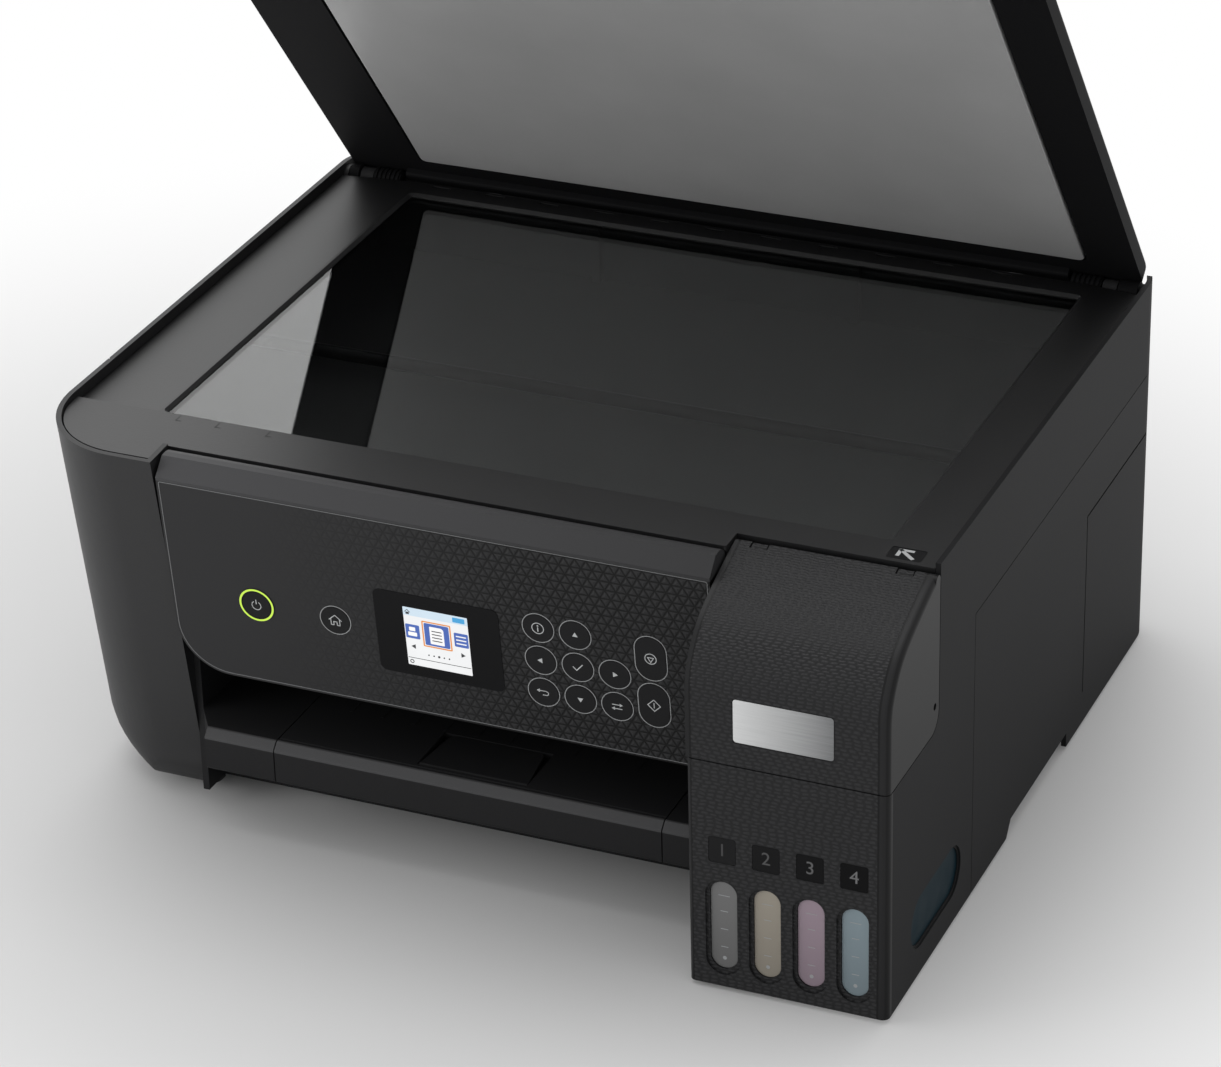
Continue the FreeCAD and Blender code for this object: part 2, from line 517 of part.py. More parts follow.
def tray_extension():
    y = SLOT_FRONT_Y
    low, high = SHELF_Z - SHELF_THICK, TRAY_TOP_Z - 7
    rear = TRAY_REAR_Y - 12
    nose = prism(tray_nose() + [(y + NOSE_DEPTH, TRAY_TOP_Z), (y + NOSE_DEPTH, low)], "yz",
                 TRAY_SPLIT_X0, TRAY_SPLIT_X1)
    plate = box(TRAY_SPLIT_X0 + TRAY_RAIL + 0.4, TRAY_SPLIT_X1 - TRAY_RAIL - 0.4, y + 2, rear, high - 2.6, high)
    grip = prism([(STOPPER_X0, low - 1), (STOPPER_X0 + 3, low + 4, 3), (STOPPER_X1 - 3, low + 4, 3),
                  (STOPPER_X1, low - 1)], "xz", y + 2, y + NOSE_DEPTH + 1)
    windows = [box(x, x + 26, y + 21, rear - 16, high - 6, high + 6)
               for x in (TRAY_SPLIT_X0 + 14.5, TRAY_SPLIT_X1 - 41.5)]
    return cut(fuse([nose, plate]), [grip] + windows)


def tray_stopper():
    y, z = STOPPER_PIVOT
    barrel = rod_x(STOPPER_X0, STOPPER_X1, y, z, STOPPER_R)
    blade = prism([(STOPPER_X0, y), (STOPPER_X1, y), (STOPPER_X1 - 3, STOPPER_END_Y, 3),
                   (STOPPER_X0 + 3, STOPPER_END_Y, 3)], "xy", z - 1, z + 0.7)
    return fuse([barrel, blade])


# Ink tank unit

def tank_x(i):
    return TANK_FIRST_X + i * TANK_PITCH


def tank_case():
    y = FRONT_Y
    right = HALF_W
    rear = TANK_CASE_REAR_Y
    skin = prism([(TANK_X, y, 2.5), (right, y, 3), (right, y + TANK_RETURN), (INNER_X, y + TANK_RETURN),
                  (INNER_X, y + WALL, 0.8), (TANK_X + WALL, y + WALL, 0.3), (TANK_X + WALL, rear),
                  (TANK_X, rear)], "xy", SKIN_Z, TANK_SPLIT_Z)
    top = box(TANK_X + 1, INNER_X - SEAM, y + 1, TANK_REAR_Y - 2.4, TANK_SPLIT_Z - 5.2, TANK_SPLIT_Z - 3.1)
    floor = box(TANK_X + 1, INNER_X - SEAM, y + 1, rear, SKIN_Z, PAN_Z)
    ears = []
    holes = []
    cy, cz = CAP_PIVOT
    for i in range(TANK_COUNT):
        x = tank_x(i)
        for side in (-CAP_HALF_W - 1.9, CAP_HALF_W + 0.3):
            foot = TANK_SPLIT_Z - 4.7
            ears.append(prism([(cy - 2.7, foot), (cy + 2.7, foot), (cy + 2.7, cz + 2.6, 2.4),
                               (cy - 2.7, cz + 2.6, 2.4)], "yz", x + side, x + side + 1.6))
        holes.append(rod_x(x - 8, x + 8, cy, cz, CAP_PIN_R + RUN))
        holes.append(rod_z(TANK_SPLIT_Z - 10.7, TANK_SPLIT_Z + 9.3, x, NECK_Y, NECK_R + 0.4))
        half = WINDOW_W / 2
        holes.append(prism(rounded(x - half, x + half, WINDOW_Z0, WINDOW_Z1, half - 0.01), "xz",
                           y - 1, y + WALL + 0.8))
        rim = half + 1.6
        holes.append(prism(rounded(x - rim, x + rim, WINDOW_Z0 - 2.2, WINDOW_Z1 + 1.2, rim - 0.01), "xz",
                           y - 1, y + WALL - 1.3))
        tile = half + 0.1
        holes.append(prism(rounded(x - tile, x + tile, WINDOW_Z1 + 8.7, WINDOW_Z1 + 20.1, 1), "xz",
                           y - 1, y + 0.35))
    return cut(fuse([skin, top, floor, tank_hinge()] + ears), holes)


def ink_tanks():
    tanks = []
    front = FRONT_Y + WALL + 0.4
    top = TANK_SPLIT_Z - 7.7
    for i in range(TANK_COUNT):
        x = tank_x(i)
        x0 = x - (TANK_PITCH - TANK_GAP) / 2
        x1 = x + (TANK_PITCH - TANK_GAP) / 2 if i < TANK_COUNT - 1 else INNER_X - 0.6
        t = TANK_WALL
        body = prism(rounded(x0, x1, front, TANK_BODY_REAR_Y, 2), "xy", PAN_Z, top)
        inner = rounded(x0 + t, x1 - t, front + t, TANK_BODY_REAR_Y - t, 1)
        hollow = prism(inner, "xy", PAN_Z + 1.8, top - t)
        neck = rod_z(top - 1, NECK_TOP_Z, x, NECK_Y, NECK_R)
        bore = rod_z(top - 13, NECK_TOP_Z + 1, x, NECK_Y, NECK_BORE_R)
        tanks.append(body.cut(hollow).fuse(neck).cut(bore).removeSplitter())
    return Part.makeCompound(tanks)


def filler_cap(i):
    x = tank_x(i)
    y, z = CAP_PIVOT
    base = NECK_TOP_Z + 0.15
    return fuse([
        rod_z(base, base + 3, x, NECK_Y, NECK_R + 1.7),
        rod_z(base - 1.2, base + 1, x, NECK_Y, NECK_BORE_R - 0.4),
        box(x - CAP_HALF_W + 0.6, x + CAP_HALF_W - 0.6, NECK_Y, y, base, base + 2.2),
        rod_x(x - CAP_HALF_W, x + CAP_HALF_W, y, z, CAP_PIN_R + 1),
        rod_x(x - CAP_HALF_W - 1.8, x + CAP_HALF_W + 1.8, y, z, CAP_PIN_R),
        prism(rounded(x - 3.5, x + 3.5, NECK_Y - NECK_R - 6.5, NECK_Y, 1.5), "xy", base + 1.2, base + 3),
    ])


def cover_curve(inset):
    """Upper outline of the tank cover in the side view, from the rear barrel to the front seam."""
    points = [(COVER_PIVOT[0] - 0.5, COVER_PIVOT[1] + COVER_BARREL_R - 0.1)]
    for back, drop in ((36.7, 5.6), (22.6, 10.8), (10.7, 17.6), (3.1, 27.0), (0.0, 40.0)):
        points.append((FRONT_Y + back, DECK_Z - drop))
    curve = Part.BSplineCurve()
    curve.interpolate([V(0, y, z) for y, z in points], InitialTangent=V(0, -1, -0.22),
                      FinalTangent=V(0, 0, -1))
    if inset == 0:
        return curve
    first = curve.FirstParameter
    last = curve.LastParameter
    moved = []
    for k in range(9):
        t = first + (last - first) * k / 8
        tangent = curve.tangent(t)[0]
        moved.append(curve.value(t) + V(0, -tangent.z, tangent.y) * inset)
    inner = Part.BSplineCurve()
    inner.interpolate(moved)
    return inner


def cover_block(inset, x0, x1, low):
    curve = cover_curve(inset)
    start = curve.value(curve.FirstParameter)
    end = curve.value(curve.LastParameter)
    foot = V(0, end.y, low)
    back = V(0, TANK_REAR_Y - COVER_GAP - inset, low)
    rear = V(0, TANK_REAR_Y - COVER_GAP - inset, COVER_PIVOT[1] - inset)
    edges = [curve.toShape(), Part.makeLine(end, foot), Part.makeLine(foot, back),
             Part.makeLine(back, rear), Part.makeLine(rear, start)]
    face = Part.Face(Part.Wire(edges))
    block = face.extrude(V(x1 - x0, 0, 0))
    block.translate(V(x0, 0, 0))
    return block


def knuckles():
    """Start of each bracket knuckle of the tank cover hinge along X."""
    return (TANK_X + 7.2, HALF_W - 9.5 - KNUCKLE_W)


def tank_cover():
    low = TANK_SPLIT_Z + 0.5
    y, z = COVER_PIVOT
    back = TANK_REAR_Y - COVER_GAP
    outer = cover_block(0, TANK_X, HALF_W, low)
    front_edges = [e for e in outer.Edges
                   if abs(e.BoundBox.XMin - HALF_W) < 0.01 and abs(e.BoundBox.XMax - HALF_W) < 0.01
                   and e.BoundBox.YMin < FRONT_Y + 1.5 and e.BoundBox.ZMax - e.BoundBox.ZMin > 5]
    outer = outer.makeFillet(2.4, front_edges)
    inner = cover_block(WALL, TANK_X + WALL, INNER_X, low - 5)
    shell = outer.cut(inner)
    open_rear = box(TANK_X + WALL, INNER_X, y - 13.5, y + 20, low - 10, DECK_Z - 6.6)
    corner = prism([(y + 30, low - 10), (y - 18.5, low - 10), (y - 18.5, low), (back, low, 8.4),
                    (back, z + 10), (y + 30, z + 10)], "yz", TANK_X - 1, HALF_W + 1)
    barrel = rod_x(TANK_X, HALF_W, y, z, COVER_BARREL_R)
    trim = box(TANK_X - 1, HALF_W + 1, y, y + 20, z, z + 15)
    notch = rod_x(HALF_W - 1, HALF_W + 1, back - 4.5, low + 11, 1.5)
    shell = cut(shell, [open_rear, corner, trim, notch])
    badge_seat = prism(rounded(BADGE_X0, BADGE_X0 + BADGE_W, BADGE_Z0, BADGE_Z0 + BADGE_H, 1), "xz",
                       FRONT_Y - 1, FRONT_Y + 0.3)
    gaps = []
    for x in knuckles():
        x0, x1 = x - KNUCKLE_GAP, x + KNUCKLE_W + KNUCKLE_GAP
        gaps.append(rod_x(x0, x1, y, z, COVER_BARREL_R + 0.9))
        gaps.append(box(x0, x1, y - 3.7, y + 20, z - 14.5, z))
    bore = rod_x(TANK_X - 1, HALF_W - 4, y, z, COVER_PIN_R + RUN)
    return cut(fuse([shell, barrel]), [badge_seat] + gaps + [bore])


def tank_hinge():
    """Bracket behind the tanks that carries the hinge rod of the tank cover."""
    y, z = COVER_PIVOT
    top = TANK_SPLIT_Z + 29.3
    parts = [
        rod_x(TANK_X + 1.2, HALF_W - 4.4, y, z, COVER_PIN_R),
        box(TANK_X + 3, HALF_W - 4, TANK_REAR_Y - 2.8, TANK_REAR_Y - 0.8, TANK_SPLIT_Z - 3.7, top),
    ]
    for x in knuckles():
        parts += [
            rod_x(x, x + KNUCKLE_W, y, z, COVER_PIN_R + 1),
            box(x, x + KNUCKLE_W, y - 1.1, y + 1.3, top - 12, z),
            box(x, x + KNUCKLE_W, y - 1.1, TANK_REAR_Y + 1.1, top - 12, top - 6),
        ]
    return fuse(parts)


# Scanner unit and lid

def scanner_deck():
    z0 = DECK_Z - DECK_THICK
    edge = INNER_X - FIT
    front = leg_front(z0) + WALL + FIT
    inner = LEG_X - WALL - FIT
    tank_side = TANK_X - 0.6
    plate = prism([(-edge, DECK_REAR_Y), (-edge, front, LEG_CORNER_R - WALL - FIT), (inner, front),
                   (inner, DECK_PANEL_Y, 1), (tank_side, DECK_PANEL_Y, 1),
                   (tank_side, TANK_REAR_Y + FIT), (edge, TANK_REAR_Y + FIT), (edge, DECK_REAR_Y)],
                  "xy", z0, DECK_Z)
    hole = prism(rounded(OPEN_X0, OPEN_X1, OPEN_Y0, OPEN_Y1, 1.5), "xy", z0 - 5, DECK_Z + 5)
    low = outline(rounded(OPEN_X0, OPEN_X1, OPEN_Y0, OPEN_Y1, 1.5), "xy", DECK_Z - 1.1)
    lip = DECK_BEVEL
    high = outline(rounded(OPEN_X0 - lip, OPEN_X1 + lip, OPEN_Y0 - lip, OPEN_Y1 + lip, 1.5 + lip), "xy",
                   DECK_Z + 0.1)
    bevel = Part.makeLoft([low, high], True, True)
    lap = GLASS_LAP + 0.2
    rebate = box(OPEN_X0 - lap, OPEN_X1 + lap, OPEN_Y0 - lap, OPEN_Y1 + lap, z0 - 5, DECK_Z - GLASS_SINK)
    slopes = []
    reach, above = HALF_W + 12.5, DECK_Z + 12
    for start, end, fall in ((OPEN_X0 - lip - 1, -reach, 3.0), (OPEN_X1 + lip + 1, reach, 2.6)):
        slopes.append(prism([(start, DECK_Z), (end, DECK_Z - fall), (end, above), (start, above)], "xz",
                            OPEN_Y0 - lip, DECK_REAR_Y + 1))
    slots = [box(x, x + 9, DECK_REAR_Y - 3.2, DECK_REAR_Y - 1.4, DECK_Z - 2, DECK_Z + 5)
             for x in spread(OPEN_X0 + 5.1, OPEN_X1 - 25, 26)]
    tile = prism(rounded(OPEN_X1 + 2.7, OPEN_X1 + 16.7, OPEN_Y0 - 14.4, OPEN_Y0 - 5.2, 1.2), "xy",
                 DECK_Z - 0.3, DECK_Z + 5)
    barrel_room = rod_x(inner + 1, tank_side, PANEL_PIVOT[0], PANEL_PIVOT[1], PANEL_BARREL_R + FIT)
    return cut(plate, [hole, bevel, rebate] + slopes + [tile, barrel_room] + slots)


def scanner_glass():
    lap = GLASS_LAP
    return box(OPEN_X0 - lap, OPEN_X1 + lap, OPEN_Y0 - lap, OPEN_Y1 + lap, GLASS_UNDER, DECK_Z - GLASS_SINK)


def scanner_tray():
    top = DECK_Z - DECK_THICK - 0.4
    outer = prism(rounded(-TRAY_X, TRAY_X, TRAY_Y0, TRAY_Y1, 8), "xy", TRAY_Z0, top)
    inner = prism(rounded(-TRAY_X + WALL, TRAY_X - WALL, TRAY_Y0 + WALL, TRAY_Y1 - WALL, 6), "xy",
                  TRAY_Z0 + WALL, top + 1)
    shell = outer.cut(inner)
    posts = []
    for x in (-TRAY_X + 14, -60, 60, TRAY_X - 6):
        for y in (TRAY_Y0 + 1, TRAY_Y1 - 6):
            posts.append(box(x - 2, x + 2, y, y + 4, TRAY_Z0 + 1, top + 0.4))
    lugs = []
    bores = []
    for x0 in (LEFT_BARREL[0] - LUG_GAP - LUG_W, RIGHT_BARREL[1] + LUG_GAP):
        lugs.append(prism([(TRAY_Y1 - 1, TRAY_Z0 + 8), (TRAY_Y1 - 1, HINGE_Z - 2.8),
                           (HINGE_Y - 1, HINGE_Z + LUG_R - 0.7), (HINGE_Y + LUG_R - 0.3, HINGE_Z),
                           (HINGE_Y + 3, HINGE_Z - 6)], "yz", x0, x0 + LUG_W))
        lugs.append(rod_x(x0, x0 + LUG_W, HINGE_Y, HINGE_Z, LUG_R))
        bores.append(rod_x(x0 - 3, x0 + LUG_W + 3, HINGE_Y, HINGE_Z, PIN_R + RUN))
    return cut(fuse([shell] + posts + lugs), bores)


def hinge_pins():
    left = rod_x(-PIN_END_X, LEFT_BARREL[1] - 0.5, HINGE_Y, HINGE_Z, PIN_R)
    right = rod_x(RIGHT_BARREL[0] + 0.5, PIN_END_X, HINGE_Y, HINGE_Z, PIN_R)
    return Part.makeCompound([left, right])


def scan_rail():
    inner = TRAY_X - WALL
    return rod_x(-inner, inner, RAIL_ROD_Y, RAIL_ROD_Z, RAIL_ROD_R)


def scan_bar():
    x1 = TRAY_X - 3.5
    x0 = x1 - SCAN_BAR_W
    y, z = RAIL_ROD_Y, RAIL_ROD_Z
    bar = prism(rounded(x0, x1, OPEN_Y0 - 4.2, OPEN_Y1 + 4, 2), "xy", GLASS_UNDER - 12.6, GLASS_UNDER - 1)
    lens = box(x0 + 6.5, x0 + 9.5, OPEN_Y0 - 2.2, OPEN_Y1 + 2, GLASS_UNDER - 1.6, GLASS_UNDER - 0.7)
    block = box(x0, x1, y - 8, y + 8, z - RAIL_ROD_R - 3, GLASS_UNDER - 11.6)
    bore = rod_x(x0 - 1, x1 + 1, y, z, RAIL_ROD_R + RUN)
    return fuse([bar, lens, block]).cut(bore)


def lid_outer():
    plan = [(-LID_HALF_W, LID_FRONT_Y, 14), (LID_HALF_W, LID_FRONT_Y, 14), (LID_HALF_W, LID_REAR_Y, 6),
            (-LID_HALF_W, LID_REAR_Y, 6)]
    slab = prism(plan, "xy", LID_Z0, LID_Z1)
    front = LID_FRONT_Y - 0.5
    side_view = [(front, LID_Z0 - 1), (front, LID_Z1, 5), (LID_REAR_Y - 10.5, LID_Z1, 12),
                 (LID_REAR_Y, LID_Z0 + 2.2, 3), (LID_REAR_Y, LID_Z0 - 1)]
    front_view = [(-LID_HALF_W, LID_Z0 - 1), (-LID_HALF_W, LID_Z1, 4), (LID_HALF_W, LID_Z1, 4),
                  (LID_HALF_W, LID_Z0 - 1)]
    reach = HALF_W + 12.5
    slab = slab.common(prism(side_view, "yz", -reach, reach))
    return slab.common(prism(front_view, "xz", LID_FRONT_Y - 5, LID_REAR_Y + 5))


def lid_shell():
    floor = LID_Z0 + LID_THICK - 2.8
    pocket = prism(rounded(PAD_X0 - 1, PAD_X1 + 1, PAD_Y0 - 1, PAD_Y1 + 1, 4), "xy", LID_Z0 - 5, floor)
    shell = lid_outer().cut(pocket)
    rib_z = PAD_Z0 + PAD_THICK
    ribs = [box(x, x + 1.4, PAD_Y0 - 2, PAD_Y1 + 2, rib_z, floor + 0.2)
            for x in spread(PAD_X0 + 30, PAD_X1, 44)]
    ribs += [box(PAD_X0 - 2, PAD_X1 + 2, y, y + 1.4, rib_z, floor + 0.2)
             for y in spread(PAD_Y0 + 36, PAD_Y1, 46)]
    hollows = [box(x0, x1, PAD_Y0 + 10, PAD_Y1 - 8.5, LID_Z0 + 2.4, floor)
               for x0, x1 in ((-LID_HALF_W + 5, PAD_X0 - 4), (PAD_X1 + 4, LID_HALF_W - 5))]
    finger = prism([(LID_FRONT_Y - 1, LID_Z0 - 1), (LID_FRONT_Y - 1, LID_Z0 + 3.5),
                    (LID_FRONT_Y + 3.5, LID_Z0 - 1)], "yz", -34, 34)
    seats = [rod_x(x0 - 0.6, x1 + 0.6, HINGE_Y, HINGE_Z, BARREL_R)
             for x0, x1 in (LEFT_BUSH, LEFT_BARREL, RIGHT_BARREL, RIGHT_BUSH)]
    lip = prism([(DECK_REAR_Y + 1.1, LID_Z0 - 3.6, 1.6), (LID_REAR_Y - 0.6, LID_Z0 - 3.6, 1.6),
                 (LID_REAR_Y - 0.6, LID_Z0 + 1), (DECK_REAR_Y + 1.1, LID_Z0 + 1)], "yz",
                LEFT_BARREL[1] + 2, RIGHT_BARREL[0] - 2)
    shell = cut(fuse([shell, lip] + ribs), hollows + [finger] + seats)
    return turned(shell, (HINGE_Y, HINGE_Z), LID_OPEN)


def document_pad():
    pad = prism(rounded(PAD_X0, PAD_X1, PAD_Y0, PAD_Y1, 3), "xy", PAD_Z0, PAD_Z0 + PAD_THICK)
    return turned(pad, (HINGE_Y, HINGE_Z), LID_OPEN)


def lid_hinges():
    arms = []
    for x0, x1 in (LEFT_BARREL, RIGHT_BARREL):
        barrel = rod_x(x0, x1, HINGE_Y, HINGE_Z, BARREL_R - 0.6)
        pitch = (x1 - x0) / BARREL_RIBS
        starts = [x0 + i * pitch for i in range(BARREL_RIBS)]
        rings = [rod_x(x, x + 1.3, HINGE_Y, HINGE_Z, BARREL_R) for x in starts]
        barrel = fuse([barrel] + rings).cut(rod_x(x0 - 1, x1 + 1, HINGE_Y, HINGE_Z, PIN_R + RUN))
        arms.append(turned(barrel, (HINGE_Y, HINGE_Z), LID_OPEN))
    for x0, x1 in (LEFT_BUSH, RIGHT_BUSH):
        bush = rod_x(x0, x1, HINGE_Y, HINGE_Z, BARREL_R).cut(rod_x(x0 - 1, x1 + 1, HINGE_Y, HINGE_Z, PIN_R + RUN))
        arms.append(turned(bush, (HINGE_Y, HINGE_Z), LID_OPEN))
    return Part.makeCompound(arms)


# Control panel

def panel_block(inset, x0, x1, rear):
    y, z = PANEL_PIVOT
    r = PANEL_BARREL_R - inset
    drop = FACE_BOTTOM[0] - FACE_TOP[0]
    fall = FACE_TOP[1] - FACE_BOTTOM[1]
    slope = drop / fall
    shoulder = (y - 3 + inset * 0.4, DECK_Z + 0.3 - inset)
    chin = (FACE_TOP[0] + inset + 0.02, FACE_TOP[1] - inset * 0.4)
    low = FACE_BOTTOM[1] + inset
    foot = (chin[0] + (chin[1] - low) * slope, low)
    p = [V(0, y + r, z), V(0, y + r * 0.7071, z + r * 0.7071), V(0, y, z + r)]
    edges = [Part.Arc(p[0], p[1], p[2]).toShape()]
    last = p[2]
    for corner in (shoulder, chin, foot, (rear, low), (rear, z)):
        edges.append(Part.makeLine(last, V(0, corner[0], corner[1])))
        last = V(0, corner[0], corner[1])
    edges.append(Part.makeLine(last, p[0]))
    block = Part.Face(Part.Wire(edges)).extrude(V(x1 - x0, 0, 0))
    block.translate(V(x0, 0, 0))
    return block


def panel_outline(inset):
    low, high = FACE_BOTTOM[1] + inset, DECK_Z + 30
    return prism([(PANEL_X0 + inset, high), (PANEL_X0 + inset, low, PANEL_CORNER_R - inset),
                  (PANEL_X1 - inset, low, 3 - inset), (PANEL_X1 - inset, high)],
                 "xz", FACE_TOP[0] - 50, PANEL_REAR_Y + 50)


def key_shape(name, grow):
    """Key outline on the face as a list of corner points, grown by a slit width."""
    if name in PILLS:
        x, down = PILLS[name]
        w = PILL_W / 2 + grow
        h = PILL_H / 2 + grow
        return rounded(x - w, x + w, -down - h, -down + h, w - 0.01)
    x, down = KEYS[name]
    r = KEY_R + grow
    return rounded(x - r, x + r, -down - r, -down + r, r - 0.01)


def key_prism(name, grow, n0, n1):
    if name in KEYS:
        x, down = KEYS[name]
        return rod_z(n0, n1, x, -down, KEY_R + grow)
    return prism(key_shape(name, grow), "xy", n0, n1)


def panel_shell():
    outer = panel_block(0, PANEL_X0, PANEL_X1, PANEL_REAR_Y).common(panel_outline(0))
    inner = panel_block(WALL, PANEL_X0 + WALL, PANEL_X1 - WALL, PANEL_REAR_Y + 16).common(panel_outline(WALL))
    shell = outer.cut(inner)
    x0, x1, top, bottom = WINDOW_BOX
    cutters = [on_face(prism(rounded(x0, x1, -bottom, -top, 3), "xy", -WINDOW_SINK, 5))]
    x0, x1, top, bottom = SCREEN_BOX
    cutters.append(on_face(prism(rounded(x0, x1, -bottom, -top, 1), "xy", -10, 5)))
    for name in list(KEYS) + list(PILLS):
        if name == "power_button":
            x, down = KEYS[name]
            cutters.append(on_face(rod_z(-10, 5, x, -down, RING_R1)))
        else:
            cutters.append(on_face(key_prism(name, KEY_SLIT, -10, 5)))
    shell = cut(shell, cutters)
    y, z = PANEL_PIVOT
    ears = [rod_x(a, b, y, z, PANEL_BARREL_R - 1.8) for a, b in PANEL_EARS]
    links = [box(a, b, FACE_TOP[0] + 1.9, y, z - 3, z + 1.5) for a, b in PANEL_EARS]
    bores = [rod_x(a - 0.4, b + 0.4, y, z, PIN_R + RUN) for a, b in PANEL_EARS]
    return cut(fuse([shell] + ears + links), bores)


def display_window():
    x0, x1, top, bottom = WINDOW_BOX
    return on_face(prism(rounded(x0, x1, -bottom, -top, 3), "xy", -WINDOW_SINK, 0.15))


def power_ring():
    x, down = KEYS["power_button"]
    return on_face(rod_z(-WALL, KEY_PROUD, x, -down, RING_R1).cut(rod_z(-WALL - 1, 1, x, -down, RING_R0)))


def key(name):
    body = key_prism(name, 0, -WALL - 3, KEY_PROUD)
    flange = key_prism(name, KEY_FLANGE, -WALL - 2, -WALL - KEY_TRAVEL)
    return on_face(fuse([body, flange]))


# Rear paper feeder

def paper_support():
    w = SUPPORT_HALF_W
    t = SUPPORT_THICK / 2
    plate = prism([(-w, -SUPPORT_LENGTH), (w, -SUPPORT_LENGTH), (w, 0.5, 12), (-w, 0.5, 12)], "xy", -t, t)
    grip = prism([(-24, 2), (-18, -7, 4), (18, -7, 4), (24, 2)], "xy", -t - 1, t + 1)
    grooves = [box(x, x + 2, -SUPPORT_LENGTH + 10, -14, t - 0.6, t + 1)
               for x in spread(25 - w, w - 25, 20)]
    return on_chute(cut(plate, [grip] + grooves))


def edge_guide(side):
    z0 = SUPPORT_THICK / 2 + 0.35
    upright = prism([(-70, z0), (-20, z0), (-20, z0 + GUIDE_DEPTH - 3), (-26, z0 + GUIDE_DEPTH, 2),
                     (-64, z0 + GUIDE_DEPTH, 2), (-70, z0 + GUIDE_DEPTH - 3)], "yz",
                    SUPPORT_HALF_W + 0.3, SUPPORT_HALF_W + 2.3)
    foot = box(SUPPORT_HALF_W - 13, SUPPORT_HALF_W + 2, -66, -24, z0, z0 + 1.2)
    guide = fuse([upright, foot])
    if side < 0:
        guide = guide.mirror(V(0, 0, 0), V(1, 0, 0))
    return on_chute(guide)


# Print mechanism

def carriage_rail():
    y, t = RAIL_Y, RAIL_THICK
    low, high = RAIL_Z0, RAIL_Z1
    profile = [(y, low), (y + 10, low), (y + 10, low + t), (y + t, low + t), (y + t, high - t),
               (y + 12, high - t), (y + 12, high), (y, high)]
    half = HALF_W - 11.5
    plate = prism(profile, "yz", -half, half)
    holes = [rod_y(y - 5, y + 5, x, PULLEY_Z, 2 * PULLEY_SHAFT_R) for x in (PULLEY_X0, PULLEY_X1)]
    slots = [prism(rounded(x, x + 30, low + 8, low + 13, 2), "xz", y - 5, y + 5)
             for x in spread(56 - half, half - 56, 60)]
    return cut(plate, holes + slots)


def print_carriage():
    x0, x1 = CARRIAGE_X0, CARRIAGE_X1
    y, z = RAIL_Y, PULLEY_Z
    face = y - CARRIAGE_GAP
    profile = [(y - 60, z - 37, 3), (y - 60, z - 1, 8), (y - 48, z + 16, 6), (face, z + 16), (face, z + 10),
               (y - 10, z + 10), (y - 10, z - 10), (face, z - 10), (face, z - 17), (y - 16, z - 31, 4),
               (y - 16, z - 37)]
    body = prism(profile, "yz", x0, x1)
    head = prism(rounded(x0 + 18, x1 - 18, y - 52, y - 22, 3), "xy", z - 43, z - 36)
    pocket = prism(rounded(x0 + 6, x1 - 6, y - 52, y - 18, 4), "xy", z - 9, z + 25)
    pitch = (x1 - x0 - 13.6) / TANK_COUNT
    dividers = [box(x0 + 6 + pitch * k, x0 + 7.2 + pitch * k, y - 53, y - 17, z - 10, z + 7)
                for k in range(1, TANK_COUNT)]
    return fuse([body.cut(pocket), head] + dividers)


def drive_belt():
    def loop(r):
        z0, z1 = PULLEY_Z - r, PULLEY_Z + r
        return prism(rounded(PULLEY_X0 - r, PULLEY_X1 + r, z0, z1, r - 0.001), "xz", BELT_Y0, BELT_Y1)
    return loop(PULLEY_R + 0.1 + BELT_THICK).cut(loop(PULLEY_R + 0.1))


def pulley(x, reach):
    drum = rod_y(BELT_Y0 - 0.3, BELT_Y1 + 0.3, x, PULLEY_Z, PULLEY_R)
    flange = rod_y(BELT_Y0 - 1.5, BELT_Y0 - 0.3, x, PULLEY_Z, PULLEY_R + 2)
    flats = [rod_y(BELT_Y0 - 0.3, BELT_Y1 + 0.3, x + PULLEY_R * math.cos(a), PULLEY_Z + PULLEY_R * math.sin(a),
                   0.5) for a in [2 * math.pi * k / 16 for k in range(16)]]
    shaft = rod_y(BELT_Y1, reach, x, PULLEY_Z, PULLEY_SHAFT_R)
    return cut(fuse([drum, flange, shaft]), flats)


def motor(x, z, r, y0, y1, bore):
    can = rod_y(y0, y1, x, z, r)
    flat = box(x - r - 1, x + r + 1, y0 - 1, y1 + 1, z + r * 0.82, z + r + 1)
    return can.cut(flat).cut(rod_y(y0 - 1, y0 + 14, x, z, bore))


def carriage_motor():
    rear = RAIL_Y + RAIL_THICK
    return motor(PULLEY_X0, PULLEY_Z, 14, rear, rear + 32.5, PULLEY_SHAFT_R + RUN)


def motor_pulley():
    return pulley(PULLEY_X0, RAIL_Y + RAIL_THICK + 10)


def idler_pulley():
    return pulley(PULLEY_X1, RAIL_Y + RAIL_THICK + 6)


def gear(teeth, y, z, phase, bore):
    """Spur gear on an X axis with straight-flanked teeth and generous backlash."""
    pitch_r = MODULE * teeth / 2
    root = pitch_r - 1.15 * MODULE
    tip = pitch_r + 0.75 * MODULE
    step = 2 * math.pi / teeth
    points = []
    for k in range(teeth):
        middle = phase + k * step
        for radius, share in ((root, -0.31), (tip, -0.12), (tip, 0.12), (root, 0.31)):
            a = middle + share * step
            points.append((y + radius * math.cos(a), z + radius * math.sin(a)))
    body = prism(points, "yz", GEAR_X0, GEAR_X1)
    return body.cut(rod_x(GEAR_X0 - 1, GEAR_X1 + 1, y, z, bore))


def centre_distance(a, b):
    return MODULE * (a + b) / 2 + CENTRE_SLACK


def idler_centre():
    return (FEED_Y - centre_distance(FEED_TEETH, IDLER_TEETH), FEED_Z)


def eject_centre():
    return (idler_centre()[0] - centre_distance(IDLER_TEETH, EJECT_TEETH), EJECT_Z)


